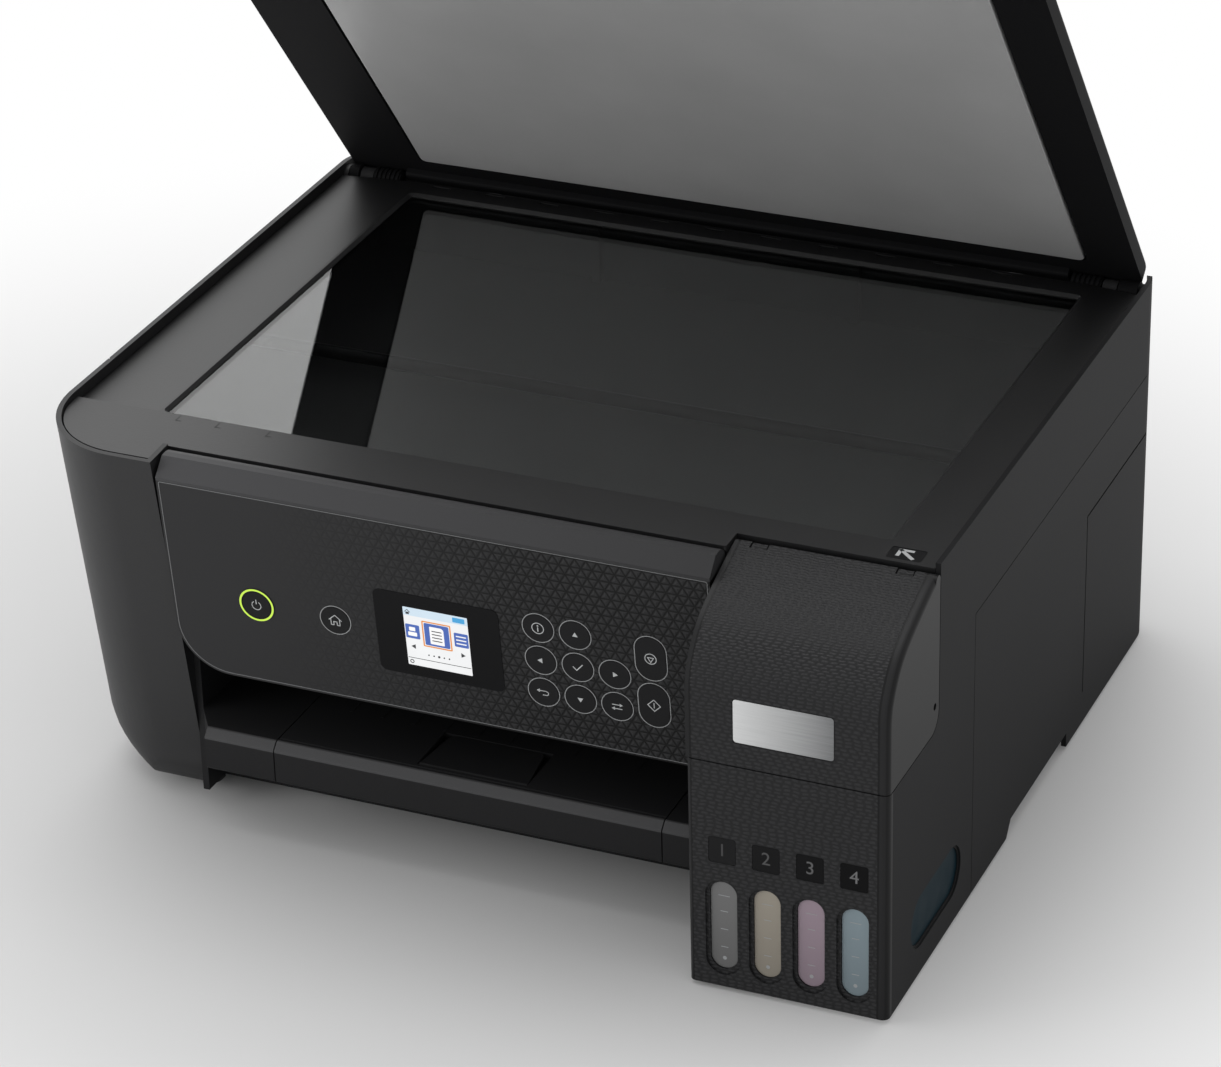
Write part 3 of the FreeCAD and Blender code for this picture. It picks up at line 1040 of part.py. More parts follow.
def pinion_centre():
    d = centre_distance(FEED_TEETH, PINION_TEETH)
    a = math.radians(PINION_ANGLE)
    return (FEED_Y + d * math.cos(a), FEED_Z + d * math.sin(a))


def feed_gear():
    return gear(FEED_TEETH, FEED_Y, FEED_Z, 0, FEED_SHAFT_R)


def idler_gear():
    y, z = idler_centre()
    return gear(IDLER_TEETH, y, z, math.pi / IDLER_TEETH, IDLER_POST_R + RUN)


def eject_gear():
    y, z = eject_centre()
    return gear(EJECT_TEETH, y, z, 0, EJECT_SHAFT_R)


def motor_pinion():
    y, z = pinion_centre()
    step_feed = 360.0 / FEED_TEETH
    offset = (PINION_ANGLE / step_feed) % 1.0
    phase = math.radians(PINION_ANGLE + 180) + (0.5 + offset) * 2 * math.pi / PINION_TEETH
    shaft = rod_x(GEAR_X0, LEFT_PLATE_X + 14.8, y, z, PINION_SHAFT_R)
    return fuse([gear(PINION_TEETH, y, z, phase, PINION_SHAFT_R), shaft])


def feed_roller():
    shaft = rod_x(GEAR_X0 - 3, RIGHT_PLATE_X + 4, FEED_Y, FEED_Z, FEED_SHAFT_R)
    grit = rod_x(-ROLLER_HALF_W, ROLLER_HALF_W, FEED_Y, FEED_Z, FEED_R)
    return fuse([shaft, grit])


def eject_roller():
    y, z = eject_centre()
    shaft = rod_x(GEAR_X0 - 3, RIGHT_PLATE_X + 4, y, z, EJECT_SHAFT_R)
    tyres = [rod_x(x, x + 14, y, z, EJECT_R) for x in spread(20 - ROLLER_HALF_W, ROLLER_HALF_W - 28, 42)]
    return fuse([shaft] + tyres)


def feed_motor():
    y, z = pinion_centre()
    x = LEFT_PLATE_X + PLATE_THICK
    can = rod_x(x, x + 30.2, y, z, MOTOR_R)
    bore = rod_x(x - 1, x + 15.2, y, z, PINION_SHAFT_R + RUN)
    flat = box(x - 7, x + 33, y - MOTOR_R - 1, y + MOTOR_R + 1, z + MOTOR_R - 2, z + MOTOR_R + 2)
    return can.cut(bore).cut(flat)


def platen():
    x0, x1 = PLATEN_X0, PLATEN_X1
    y1 = FEED_Y - 8
    y0 = y1 - 40
    top = FEED_Z - 4.4
    bed = box(x0, x1, y0, y1, top - 11.6, top - 2.1)
    hollow = box(x0 + 2, x1 - 2, y0 + 2, y1 - 2, top - 17.6, top - 4.6)
    trough = prism(rounded(x0 + 6, x1 - 6, y0 + 10, y1 - 10, 3), "xy", top - 4, top + 2)
    ribs = [box(x, x + 1.6, y0 + 2, y1 - 2, top - 4.2, top) for x in spread(x0 + 10, x1 - 10, 12)]
    legs = [box(x, x + 2.5, y0, y1, PAN_TOP, top - 7.6) for x in (x0, x1 - 2.5)]
    return fuse([bed.cut(hollow).cut(trough)] + ribs + legs)


def side_plate(x0, x1):
    """Upright plate with the roller bearings; the carriage rail rests on its top edge."""
    y, z = eject_centre()
    front = y - 16
    shoulder = FEED_Z + 14
    profile = [(front, PAN_Z), (RAIL_Y + 22, PAN_Z), (RAIL_Y + 22, RAIL_Z0 - 14, 6), (RAIL_Y + 12, RAIL_Z0),
               (RAIL_Y, RAIL_Z0), (RAIL_Y - 16, shoulder, 4), (front, shoulder, 6)]
    holes = [rod_x(x0 - 1, x1 + 1, FEED_Y, FEED_Z, FEED_SHAFT_R + RUN),
             rod_x(x0 - 1, x1 + 1, y, z, EJECT_SHAFT_R + RUN)]
    return cut(prism(profile, "yz", x0, x1), holes)


def gear_frame():
    """Left plate with the idler post and the opening for the motor shaft."""
    x0, x1 = LEFT_PLATE_X, LEFT_PLATE_X + PLATE_THICK
    iy, iz = idler_centre()
    py, pz = pinion_centre()
    post = rod_x(GEAR_X0, x0 + PLATE_THICK / 2, iy, iz, IDLER_POST_R)
    return fuse([side_plate(x0, x1).cut(rod_x(x0 - 5, x1 + 3, py, pz, PINION_SHAFT_R + 2.5)), post])


def roller_frame():
    return side_plate(RIGHT_PLATE_X, RIGHT_PLATE_X + PLATE_THICK)


def capping_station():
    x0, x1 = PLATEN_X1 + 2, RIGHT_PLATE_X - 3
    y1 = FEED_Y - 6
    y0 = y1 - 40
    body = prism(rounded(x0, x1, y0, y1, 3), "xy", PAN_TOP, FEED_Z - 8)
    cap = prism(rounded(x0 + 6, x1 - 6, y0 + 6, y1 - 6, 3), "xy", FEED_Z - 9, FEED_Z + 6)
    well = prism(rounded(x0 + 8, x1 - 8, y0 + 8, y1 - 8, 2), "xy", FEED_Z - 2, FEED_Z + 8)
    return fuse([body, cap]).cut(well)


def main_board():
    x = RIGHT_PLATE_X - 2.4
    rear = CASE_REAR_Y - 4.5
    board = box(x, x + 1.6, rear - 70, rear, PAN_TOP, 112)
    half_w, half_h = DATA_W / 2, DATA_H / 2
    socket = box(DATA_X - half_w, DATA_X + half_w, rear - 13, SOCKET_Y, DATA_Z - half_h, DATA_Z + half_h)
    mouth = box(DATA_X - half_w + 2, DATA_X + half_w - 2, rear - 8, SOCKET_Y + 6, DATA_Z - half_h + 2,
                DATA_Z + half_h - 1.8)
    link = box(DATA_X + half_w - 0.3, x + 0.2, rear - 11, rear, DATA_Z - 5, DATA_Z + 5)
    chips = [box(x - 2.8, x, rear - 60, rear - 38, 60, 82), box(x - 2, x, rear - 32, rear - 20, 66, 74),
             box(x - 8, x, rear - 64, rear - 56, 20, 40)]
    return fuse([board, socket.cut(mouth), link] + chips)


def power_supply():
    x0, x1 = INLET_X - 19, INLET_X + 22
    rear = CASE_REAR_Y - 6.5
    front = rear - 54
    top = PAN_TOP + 51.3
    case = prism(rounded(x0, x1, front, rear, 3), "xy", PAN_TOP, top)
    hollow = box(x0 + 3, x1 - 3, front + 3, rear - 12, PAN_TOP + 3, top - 4)
    vents = [box(x0 + 6, x1 - 6, front + 6 + 8 * k, front + 9 + 8 * k, top - 6, top + 12) for k in range(5)]
    half_w, half_h = INLET_W / 2, INLET_H / 2
    inlet = prism(rounded(INLET_X - half_w, INLET_X + half_w, INLET_Z - half_h, INLET_Z + half_h, 4), "xz",
                  rear - 1, SOCKET_Y)
    mouth = prism(rounded(INLET_X - half_w + 2.2, INLET_X + half_w - 2.2, INLET_Z - 5, INLET_Z + 5, 4.9), "xz",
                  rear - 7, SOCKET_Y + 6)
    pins = [rod_y(rear - 8, rear + 2, x, INLET_Z, 1.2) for x in (INLET_X - 3.6, INLET_X + 3.6)]
    return fuse([cut(fuse([case, inlet]), [hollow, mouth] + vents)] + pins)


def rubber_feet():
    left = -HALF_W + 37.5
    front, rear = PAN_Y0 + 17, CASE_REAR_Y - 29.5
    feet = [rod_z(0, PAN_Z, x, y, FOOT_R)
            for x, y in ((left, front), (TANK_X - 21.8, front), (left, rear), (-left, rear))]
    feet.append(rod_z(0, SKIN_Z, TANK_X + TANK_WIDTH / 2, FRONT_Y + 23.5, FOOT_R))
    return Part.makeCompound(feet)


def all_parts():
    parts = {
        "base_case": base_case(),
        "left_side_panel": left_side_panel(),
        "right_side_panel": right_side_panel(),
        "rear_cover": rear_cover(),
        "front_frame": front_frame(),
        "rubber_feet": rubber_feet(),
        "tank_case": tank_case(),
        "ink_tanks": ink_tanks(),
        "tank_cover": tank_cover(),
        "scanner_deck": scanner_deck(),
        "scanner_glass": scanner_glass(),
        "scanner_tray": scanner_tray(),
        "hinge_pins": hinge_pins(),
        "scan_rail": scan_rail(),
        "scan_bar": scan_bar(),
        "lid_shell": lid_shell(),
        "document_pad": document_pad(),
        "lid_hinges": lid_hinges(),
        "panel_shell": panel_shell(),
        "display_window": display_window(),
        "power_ring": power_ring(),
        "output_tray": output_tray(),
        "tray_extension": tray_extension(),
        "tray_stopper": tray_stopper(),
        "paper_support": paper_support(),
        "edge_guide_left": edge_guide(-1),
        "edge_guide_right": edge_guide(1),
        "carriage_rail": carriage_rail(),
        "print_carriage": print_carriage(),
        "drive_belt": drive_belt(),
        "motor_pulley": motor_pulley(),
        "idler_pulley": idler_pulley(),
        "carriage_motor": carriage_motor(),
        "feed_roller": feed_roller(),
        "feed_gear": feed_gear(),
        "idler_gear": idler_gear(),
        "eject_roller": eject_roller(),
        "eject_gear": eject_gear(),
        "feed_motor": feed_motor(),
        "motor_pinion": motor_pinion(),
        "platen": platen(),
        "capping_station": capping_station(),
        "main_board": main_board(),
        "power_supply": power_supply(),
    }
    for i, name in enumerate(("cap_black", "cap_yellow", "cap_magenta", "cap_cyan")):
        parts[name] = filler_cap(i)
    for name in list(KEYS) + list(PILLS):
        parts[name] = key(name)
    return parts


os.makedirs("parts", exist_ok=True)
for part_name, part_shape in all_parts().items():
    part_shape.exportStep("parts/" + part_name + ".step")
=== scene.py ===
import json
import math

import bmesh
import bpy
from bpy.props import FloatProperty, FloatVectorProperty, PointerProperty
from mathutils import Matrix, Vector


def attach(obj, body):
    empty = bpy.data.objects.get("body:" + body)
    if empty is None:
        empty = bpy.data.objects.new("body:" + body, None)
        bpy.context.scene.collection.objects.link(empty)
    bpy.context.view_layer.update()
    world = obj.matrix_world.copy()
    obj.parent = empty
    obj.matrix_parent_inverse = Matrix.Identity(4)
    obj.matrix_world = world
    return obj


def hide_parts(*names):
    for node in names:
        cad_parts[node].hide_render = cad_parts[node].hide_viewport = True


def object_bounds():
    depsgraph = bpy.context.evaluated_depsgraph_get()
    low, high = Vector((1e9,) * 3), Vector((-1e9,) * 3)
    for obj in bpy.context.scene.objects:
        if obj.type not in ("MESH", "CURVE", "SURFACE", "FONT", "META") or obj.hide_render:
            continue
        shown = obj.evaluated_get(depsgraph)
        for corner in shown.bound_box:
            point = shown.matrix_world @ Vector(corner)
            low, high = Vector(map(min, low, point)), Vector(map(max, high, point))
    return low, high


bl_info = {
    "name": "Inkjet printer finish",
    "version": (1, 0, 0),
    "blender": (4, 5, 0),
    "location": "View3D > Sidebar > Printer",
    "description": "Finishes, signs, windows and studio for a flatbed inkjet printer with ink tanks",
    "category": "Object",
}

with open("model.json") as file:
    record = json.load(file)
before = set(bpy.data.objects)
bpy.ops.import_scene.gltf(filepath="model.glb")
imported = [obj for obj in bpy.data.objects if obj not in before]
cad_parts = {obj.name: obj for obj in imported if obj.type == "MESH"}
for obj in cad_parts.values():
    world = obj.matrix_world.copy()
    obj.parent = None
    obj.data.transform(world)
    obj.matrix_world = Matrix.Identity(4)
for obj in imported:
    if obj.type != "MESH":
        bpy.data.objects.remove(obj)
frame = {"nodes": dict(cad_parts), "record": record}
CAD_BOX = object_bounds()

MM = 0.001
LID_OPEN = 51.4                     # degrees that the lid stands open at rest
HINGE = Vector((0, 144.5, 164.3)) * MM
FACE_TOP = Vector((0, -144.5, 161.6)) * MM
FACE_BOTTOM = Vector((0, -134.1, 71.5)) * MM
STRIP_Z = 160.4 * MM                # the plain strip along the top of the panel face starts here
KEY_TOP = 0.25 * MM                 # keys stand this far out of the panel face
KEY_HOLE = 6.45 * MM                # half of the width of their holes
ROUND_KEYS = {
    "power_button": (-90.1, 53.0),
    "home_button": (-55.5, 53.0),
    "help_button": (32.5, 38.0),
    "up_button": (48.0, 38.0),
    "left_button": (32.5, 53.2),
    "ok_button": (48.0, 53.2),
    "right_button": (63.4, 53.2),
    "back_button": (32.5, 68.4),
    "down_button": (48.0, 68.4),
    "options_button": (63.4, 68.4),
}
LONG_KEYS = {"stop_button": (79.0, 42.4), "start_button": (79.0, 64.4)}
SCREEN = 13.75 * MM                 # half of the side of the lit screen
WINDOW_Y, TILE_Y = -171.05 * MM, -173.15 * MM   # backs of the ink windows and of the tiles over them
TANK_X = (121.0, 138.67, 156.34, 174.01)
DATA_SOCKET = Vector((153.5, 160.0, 35.1)) * MM
FOOT_R = 27 * MM                    # height of the rounding of the left leg's foot
FOOT_REACH = 40 * MM                # width of that rounding
FOOT_Z = 2 * MM                     # lower edge of the leg
LEG_WIDTH = 57 * MM
LEG_KNEE = 40 * MM                  # down to here the solid leg's front leans
LEG_LOW = 25 * MM                   # down to here the shaped leg's front leans
LEG_LEAN = 0.167                    # run over rise of that lean
LEG_BACK, LEG_FRONT = -30 * MM, -90 * MM    # the foot's shape comes in between these depths
# the front left corner of the tray platform lies beyond these
PLATFORM_X, PLATFORM_Y, PLATFORM_Z = -126 * MM, -128 * MM, 60 * MM
BEVEL_Y, BEVEL_Z = -137.5 * MM, 44.5 * MM   # middle of the bevel along the tray's front edge
TANK_MIDDLE = 146.1 * MM
TANK_HALF = 40.3 * MM               # half of the width of the ink tank unit
RIPPLE_EDGE = 37.3 * MM             # the ripples end this far from the unit's middle
INKS = ("ink_black", "ink_yellow", "ink_magenta", "ink_cyan")
CAPS = {"black": "#1D1D1D", "yellow": "#B99A2A", "magenta": "#9A3A66", "cyan": "#2B7A9E"}
CAMERA_SPOT = Vector((662.76, -1495.92, 960.30)) * MM
CAMERA_TURN = (-23.833, 28.045, -1.487)     # degrees around, down and of roll
CAMERA_FOCUS = 4476.36 / 1221               # focal length in picture widths
SKY_GLOW = (-0.35, 0.79, 0.5)               # direction of the soft glow behind the object
SHADOW_SPOT = (-0.08, 0, 0)                 # the floor turns white away from here


def linear(code):
    """Linear RGBA of an sRGB hex colour."""
    parts = [int(code[i:i + 2], 16) / 255 for i in (1, 3, 5)]
    return tuple(p / 12.92 if p <= 0.04045 else ((p + 0.055) / 1.055) ** 2.4 for p in parts) + (1.0,)


def length(name, description, default):
    return FloatProperty(name=name, description=description, default=default * MM, unit="LENGTH", precision=5)


def colour(name, description, code):
    return FloatVectorProperty(name=name, description=description, default=linear(code)[:3], size=3,
                               subtype="COLOR", min=0.0, max=1.0)


class PrinterSizes(bpy.types.PropertyGroup):
    """Sizes of the finish that a user may change."""
    mould_grain: length("Mould grain", "Width of the spark-eroded grain on the casing", 0.9)
    emboss_pitch: length("Emboss pitch", "Side of the raised triangles on the control panel", 4.6)
    emboss_depth: length("Emboss depth", "Height of the raised triangles on the control panel", 0.5)
    ripple_length: length("Ripple length", "Length of the ripples on the ink tank unit", 3.6)
    ripple_width: length("Ripple width", "Distance between rows of ripples on the ink tank unit", 1.7)
    line_width: length("Line width", "Width of the printed lines round the keys", 0.34)
    mark_height: length("Mark height", "Thickness of printed signs and lines", 0.06)
    pad_crown: length("Pad crown", "Swell of the document pad in its middle", 0.5)


class PrinterColours(bpy.types.PropertyGroup):
    """Colours of the finish that a user may change."""
    casing: colour("Casing", "Side panels, base and rear cover", "#202021")
    deck: colour("Deck", "Scanner deck round the glass", "#161617")
    panel: colour("Panel", "Control panel", "#2A2A2B")
    tank: colour("Tank unit", "Ink tank case and its cover", "#242425")
    lid: colour("Lid", "Lid shell", "#161617")
    key: colour("Keys", "Keys of the control panel", "#222223")
    sign: colour("Signs", "Printed signs and lines", "#C4C6C7")
    pad: colour("Pad", "Face of the document pad", "#A6A6A6")
    light: colour("Power light", "Ring round the power key", "#C4E84A")
    ink_black: colour("Black ink window", "Window of the first tank", "#6C6C6C")
    ink_yellow: colour("Yellow ink window", "Window of the second tank", "#968F83")
    ink_magenta: colour("Magenta ink window", "Window of the third tank", "#95848F")
    ink_cyan: colour("Cyan ink window", "Window of the fourth tank", "#7D8C93")


def sizes():
    return bpy.context.scene.printer_sizes


def shaded(shade, factor):
    """RGBA of a colour made darker or paler by a factor."""
    return tuple(min(1.0, c * factor) for c in shade[:3]) + (1.0,)


def tint(name, factor=1.0):
    """A colour of the user's list as RGBA, made darker or paler by a factor."""
    return shaded(getattr(bpy.context.scene.printer_colours, name), factor)


def add_node(tree, kind, inputs=None, **settings):
    """Adds a node, sets it up and links or fills its inputs; a node given as one means its first output."""
    node = tree.nodes.new(kind)
    for name, value in settings.items():
        setattr(node, name, value)
    for key, value in (inputs or {}).items():
        if isinstance(value, bpy.types.Node):
            value = value.outputs[0]
        if isinstance(value, bpy.types.NodeSocket):
            tree.links.new(value, node.inputs[key])
        else:
            node.inputs[key].default_value = value
    return node


def new_material(name, sockets):
    """Material with a principled shader whose even values sit on its own sockets."""
    material = bpy.data.materials.new(name)
    material.use_nodes = True
    tree = material.node_tree
    shader = tree.nodes["Principled BSDF"]
    for key, value in sockets.items():
        shader.inputs[key].default_value = value
    place = add_node(tree, "ShaderNodeTexCoord").outputs["Object"]
    return material, tree, shader, place


def two_tone(tree, shader, factor, dark, pale):
    """Drives the base colour from dark to pale by a pattern."""
    mixed = add_node(tree, "ShaderNodeMix", {0: factor, 6: dark, 7: pale}, data_type="RGBA",
                     clamp_factor=False)
    tree.links.new(mixed.outputs[2], shader.inputs["Base Color"])


def press_in(tree, shader, height, depth):
    """Turns a pattern into relief of a real depth."""
    bump = add_node(tree, "ShaderNodeBump", {"Height": height, "Distance": depth, "Strength": 1.0})
    tree.links.new(bump.outputs["Normal"], shader.inputs["Normal"])


def vary_roughness(tree, shader, factor, low, high):
    """Drives the roughness from low to high by a pattern."""
    rough = add_node(tree, "ShaderNodeMapRange", {"Value": factor, 3: low, 4: high})
    tree.links.new(rough.outputs[0], shader.inputs["Roughness"])


def spark_grain(tree, shader, place, grain, depth=0.03 * MM):
    """Presses in the grain of a spark-eroded mould and returns its pattern.

    It is drawn about twice as coarse as the real one, so that it shows."""
    fine = add_node(tree, "ShaderNodeTexNoise", {"Vector": place, "Scale": 1 / grain, "Detail": 3.0})
    press_in(tree, shader, fine, depth)
    return fine


def moulded_plastic(name, shade, roughness, grain, depth=0.03 * MM, sheen=0.08):
    """Injection-moulded ABS with a spark-eroded grain: dull, with a soft broad sheen."""
    material, tree, shader, place = new_material(name, {"Roughness": roughness, "IOR": 1.53,
                                                        "Specular IOR Level": sheen})
    fine = spark_grain(tree, shader, place, grain, depth)
    broad = add_node(tree, "ShaderNodeTexNoise", {"Vector": place, "Scale": 1 / (70 * MM), "Detail": 2.0})
    mix = add_node(tree, "ShaderNodeMath", {0: fine, 1: broad}, operation="MULTIPLY")
    two_tone(tree, shader, mix, shaded(shade, 0.82), shaded(shade, 1.35))
    return material


def lid_plastic():
    """Moulded ABS lid, spark-eroded, with painted light and shade: greyer outside and deep black on the
    underside round the pad.
    """
    out = Matrix.Rotation(math.radians(-LID_OPEN), 3, "X") @ Vector((0, 0, 1))
    material, tree, shader, place = new_material(
        "moulded_abs_lid", {"Roughness": 0.55, "IOR": 1.53, "Specular IOR Level": 0.03})
    fine = spark_grain(tree, shader, place, sizes().mould_grain)
    rise = add_node(tree, "ShaderNodeVectorMath", {0: place, 1: out}, operation="DOT_PRODUCT")
    # painted light and shade: this mask colours the outside greyer and the underside deep black
    outer = add_node(tree, "ShaderNodeMapRange", {"Value": rise.outputs["Value"], 1: HINGE.dot(out) + 11 * MM,
                                                  2: HINGE.dot(out) + 13 * MM})
    tone = add_node(tree, "ShaderNodeMath", {0: fine, 1: 0.25, 2: outer}, operation="MULTIPLY_ADD")
    two_tone(tree, shader, tone, tint("lid", 0.9), tint("casing", 1.25))
    return material


def tray_plastic_painted_highlight():
    """Moulded HIPS tray front with a painted highlight: its bevelled top edge is coloured pale where light
    catches it.

    On the bevel, height less depth is the same all along, which tells it from the faces beside it."""
    material, tree, shader, place = new_material(
        "moulded_hips_tray", {"Roughness": 0.5, "IOR": 1.53, "Specular IOR Level": 0.12})
    fine = spark_grain(tree, shader, place, sizes().mould_grain)
    at = add_node(tree, "ShaderNodeSeparateXYZ", {0: place})
    level = add_node(tree, "ShaderNodeMath", {0: at.outputs["Z"], 1: at.outputs["Y"]}, operation="SUBTRACT")
    bevel = add_node(tree, "ShaderNodeMath", {0: level, 1: BEVEL_Z - BEVEL_Y, 2: 0.9 * MM},
                     operation="COMPARE")
    high = add_node(tree, "ShaderNodeMath", {0: at.outputs["Z"], 1: BEVEL_Z, 2: 3 * MM}, operation="COMPARE")
    edge = add_node(tree, "ShaderNodeMath", {0: bevel, 1: high}, operation="MULTIPLY")
    # painted highlight: the bevel along the top front edge is coloured pale
    tone = add_node(tree, "ShaderNodeMath", {0: fine, 1: 0.1, 2: edge}, operation="MULTIPLY_ADD")
    two_tone(tree, shader, tone, linear("#1B1B1C"), linear("#454546"))
    return material


def embossed_plastic():
    """Moulded ABS fascia with raised triangles that die out to the left, painted shade in the grooves between
    them, and a painted highlight on the plain strip on top, strongest at the left.
    """
    pitch = sizes().emboss_pitch * math.sqrt(3) / 2
    material, tree, shader, place = new_material(
        "embossed_abs_fascia", {"Roughness": 0.48, "IOR": 1.53, "Specular IOR Level": 0.18})
    facets = []
    for angle in (math.radians(90), math.radians(30), math.radians(150)):
        across = add_node(tree, "ShaderNodeVectorMath",
                          {0: place, 1: (math.cos(angle) / pitch, 0, math.sin(angle) / pitch)},
                          operation="DOT_PRODUCT")
        saw = add_node(tree, "ShaderNodeMath", {0: across.outputs["Value"], 1: 0.5}, operation="PINGPONG")
        facets.append(saw)
    low = add_node(tree, "ShaderNodeMath", {0: facets[0], 1: facets[1]}, operation="MINIMUM")
    low = add_node(tree, "ShaderNodeMath", {0: low, 1: facets[2]}, operation="MINIMUM")
    along = add_node(tree, "ShaderNodeSeparateXYZ", {0: place})
    fade = add_node(tree, "ShaderNodeMapRange", {"Value": along.outputs["X"], 1: -100 * MM, 2: 50 * MM},
                    interpolation_type="SMOOTHSTEP")
    below = add_node(tree, "ShaderNodeMapRange",
                     {"Value": along.outputs["Z"], 1: STRIP_Z, 2: STRIP_Z - 0.3 * MM})
    share = add_node(tree, "ShaderNodeMath", {0: fade, 1: below}, operation="MULTIPLY")
    relief = add_node(tree, "ShaderNodeMath", {0: low, 1: share}, operation="MULTIPLY")
    # painted shade: the grooves between the triangles are coloured dark
    painted_groove_shade = add_node(tree, "ShaderNodeMapRange", {"Value": low, 1: 0.04, 2: 0.15})
    lit = add_node(tree, "ShaderNodeMix", {0: share, 2: 1.0, 3: painted_groove_shade})
    # painted highlight: the plain strip on top is coloured paler, most at the left
    strip = add_node(tree, "ShaderNodeMapRange",
                     {"Value": along.outputs["X"], 1: -120 * MM, 2: 100 * MM, 3: 2.4, 4: 1.4})
    paler = add_node(tree, "ShaderNodeMix", {0: below, 2: strip, 3: lit})
    two_tone(tree, shader, paler, tint("panel", 0.05), tint("panel"))
    press_in(tree, shader, relief, sizes().emboss_depth * 2)
    return material


def rippled_plastic():
    """Moulded ABS with rows of short ripples like fine leather, with painted highlights on the ripple crests;
    smooth on both flanks, which are coloured darker as painted shade.
    """
    s = sizes()
    material, tree, shader, place = new_material(
        "rippled_abs", {"Roughness": 0.42, "IOR": 1.53, "Specular IOR Level": 0.14})
    at = add_node(tree, "ShaderNodeSeparateXYZ", {0: place})
    sway = add_node(tree, "ShaderNodeTexNoise",
                    {"Vector": place, "Scale": 1 / (1.6 * s.ripple_length), "Detail": 1.0})
    run = add_node(tree, "ShaderNodeMath", {0: at.outputs["Z"], 1: at.outputs["Y"]}, operation="ADD")
    row = add_node(tree, "ShaderNodeMath", {0: run, 1: s.ripple_width}, operation="DIVIDE")
    row = add_node(tree, "ShaderNodeMath", {0: sway, 1: 1.2, 2: row}, operation="MULTIPLY_ADD")
    index = add_node(tree, "ShaderNodeMath", {0: row}, operation="FLOOR")
    shift = add_node(tree, "ShaderNodeTexWhiteNoise", {"W": index}, noise_dimensions="1D")
    dash = add_node(tree, "ShaderNodeMath",
                    {0: at.outputs["X"], 1: 1 / s.ripple_length, 2: shift.outputs["Value"]},
                    operation="MULTIPLY_ADD")
    dash = add_node(tree, "ShaderNodeMath", {0: dash, 1: 0.5}, operation="PINGPONG")
    dash = add_node(tree, "ShaderNodeMapRange", {"Value": dash, 1: 0.04, 2: 0.3},
                    interpolation_type="SMOOTHSTEP")
    crest = add_node(tree, "ShaderNodeMath", {0: row, 1: 0.5}, operation="PINGPONG")
    crest = add_node(tree, "ShaderNodeMapRange", {"Value": crest, 1: 0.05, 2: 0.45},
                     interpolation_type="SMOOTHSTEP")
    ripple = add_node(tree, "ShaderNodeMath", {0: dash, 1: crest}, operation="MULTIPLY")
    off = add_node(tree, "ShaderNodeMath", {0: at.outputs["X"], 1: TANK_MIDDLE}, operation="SUBTRACT")
    off = add_node(tree, "ShaderNodeMath", {0: off}, operation="ABSOLUTE")
    inside = add_node(tree, "ShaderNodeMapRange",
                      {"Value": off, 1: RIPPLE_EDGE - 0.1 * MM, 2: RIPPLE_EDGE - 0.5 * MM})
    ripple = add_node(tree, "ShaderNodeMath", {0: ripple, 1: inside}, operation="MULTIPLY")
    seam = add_node(tree, "ShaderNodeMath", {0: off, 1: RIPPLE_EDGE, 2: 0.4 * MM}, operation="COMPARE")
    height = add_node(tree, "ShaderNodeMath", {0: seam, 1: -0.8, 2: ripple}, operation="MULTIPLY_ADD")
    tone = add_node(tree, "ShaderNodeMath", {0: seam, 1: -0.5, 2: 0.55}, operation="MULTIPLY_ADD")
    # painted highlight: the ripple crests are coloured paler
    tone = add_node(tree, "ShaderNodeMath", {0: ripple, 1: 0.8, 2: tone}, operation="MULTIPLY_ADD")
    # painted shade: the flanks of the unit are coloured darker
    painted_flank_shade = add_node(tree, "ShaderNodeMapRange",
                     {"Value": off, 1: TANK_HALF - 0.5 * MM, 2: TANK_HALF - 0.1 * MM, 3: 0.0, 4: -0.45})
    tone = add_node(tree, "ShaderNodeMath", {0: tone, 1: painted_flank_shade}, operation="ADD")
    two_tone(tree, shader, tone, tint("tank", 0.4), tint("tank", 1.45))
    press_in(tree, shader, height, 0.16 * MM)
    return material


def pad_film():
    """Grey film on foam: smooth, with a faint cloudiness from the foam behind it."""
    material, tree, shader, place = new_material("grey_foam_film", {"Roughness": 0.3, "IOR": 1.6})
    cloud = add_node(tree, "ShaderNodeTexNoise", {"Vector": place, "Scale": 1 / (38 * MM), "Detail": 3.0})
    two_tone(tree, shader, cloud, tint("pad", 0.9), tint("pad", 1.08))
    press_in(tree, shader, cloud, 0.25 * MM)
    return material


def float_glass():
    """Float glass: clear, faintly green, with a hard mirror sheen."""
    material, tree, shader, place = new_material(
        "float_glass", {"IOR": 1.52, "Transmission Weight": 1.0, "Base Color": linear("#E2E5E4")})
    haze = add_node(tree, "ShaderNodeTexNoise", {"Vector": place, "Scale": 1 / (50 * MM)})
    vary_roughness(tree, shader, haze, 0.0, 0.01)
    return material


def gloss_plastic(name, shade, roughness=0.12, sheen=0.5):
    """Polished acrylic or ABS: deep colour under a clear gloss, with faint haze."""
    material, tree, shader, place = new_material(name, {"IOR": 1.5, "Specular IOR Level": sheen})
    haze = add_node(tree, "ShaderNodeTexNoise", {"Vector": place, "Scale": 1 / (9 * MM), "Detail": 2.0})
    vary_roughness(tree, shader, haze, roughness * 0.7, roughness * 1.3)
    two_tone(tree, shader, haze, shaded(shade, 0.92), shade)
    return material


def window_resin(name, shade):
    """Translucent polypropylene with ink behind it: milky and softly lit, paler at the top."""
    material, tree, shader, place = new_material(name, {"Roughness": 0.3, "IOR": 1.49})
    height = add_node(tree, "ShaderNodeSeparateXYZ", {0: place})
    level = add_node(tree, "ShaderNodeMapRange", {"Value": height.outputs["Z"], 1: 9 * MM, 2: 48 * MM})
    two_tone(tree, shader, level, shaded(shade, 0.82), shaded(shade, 1.12))
    return material


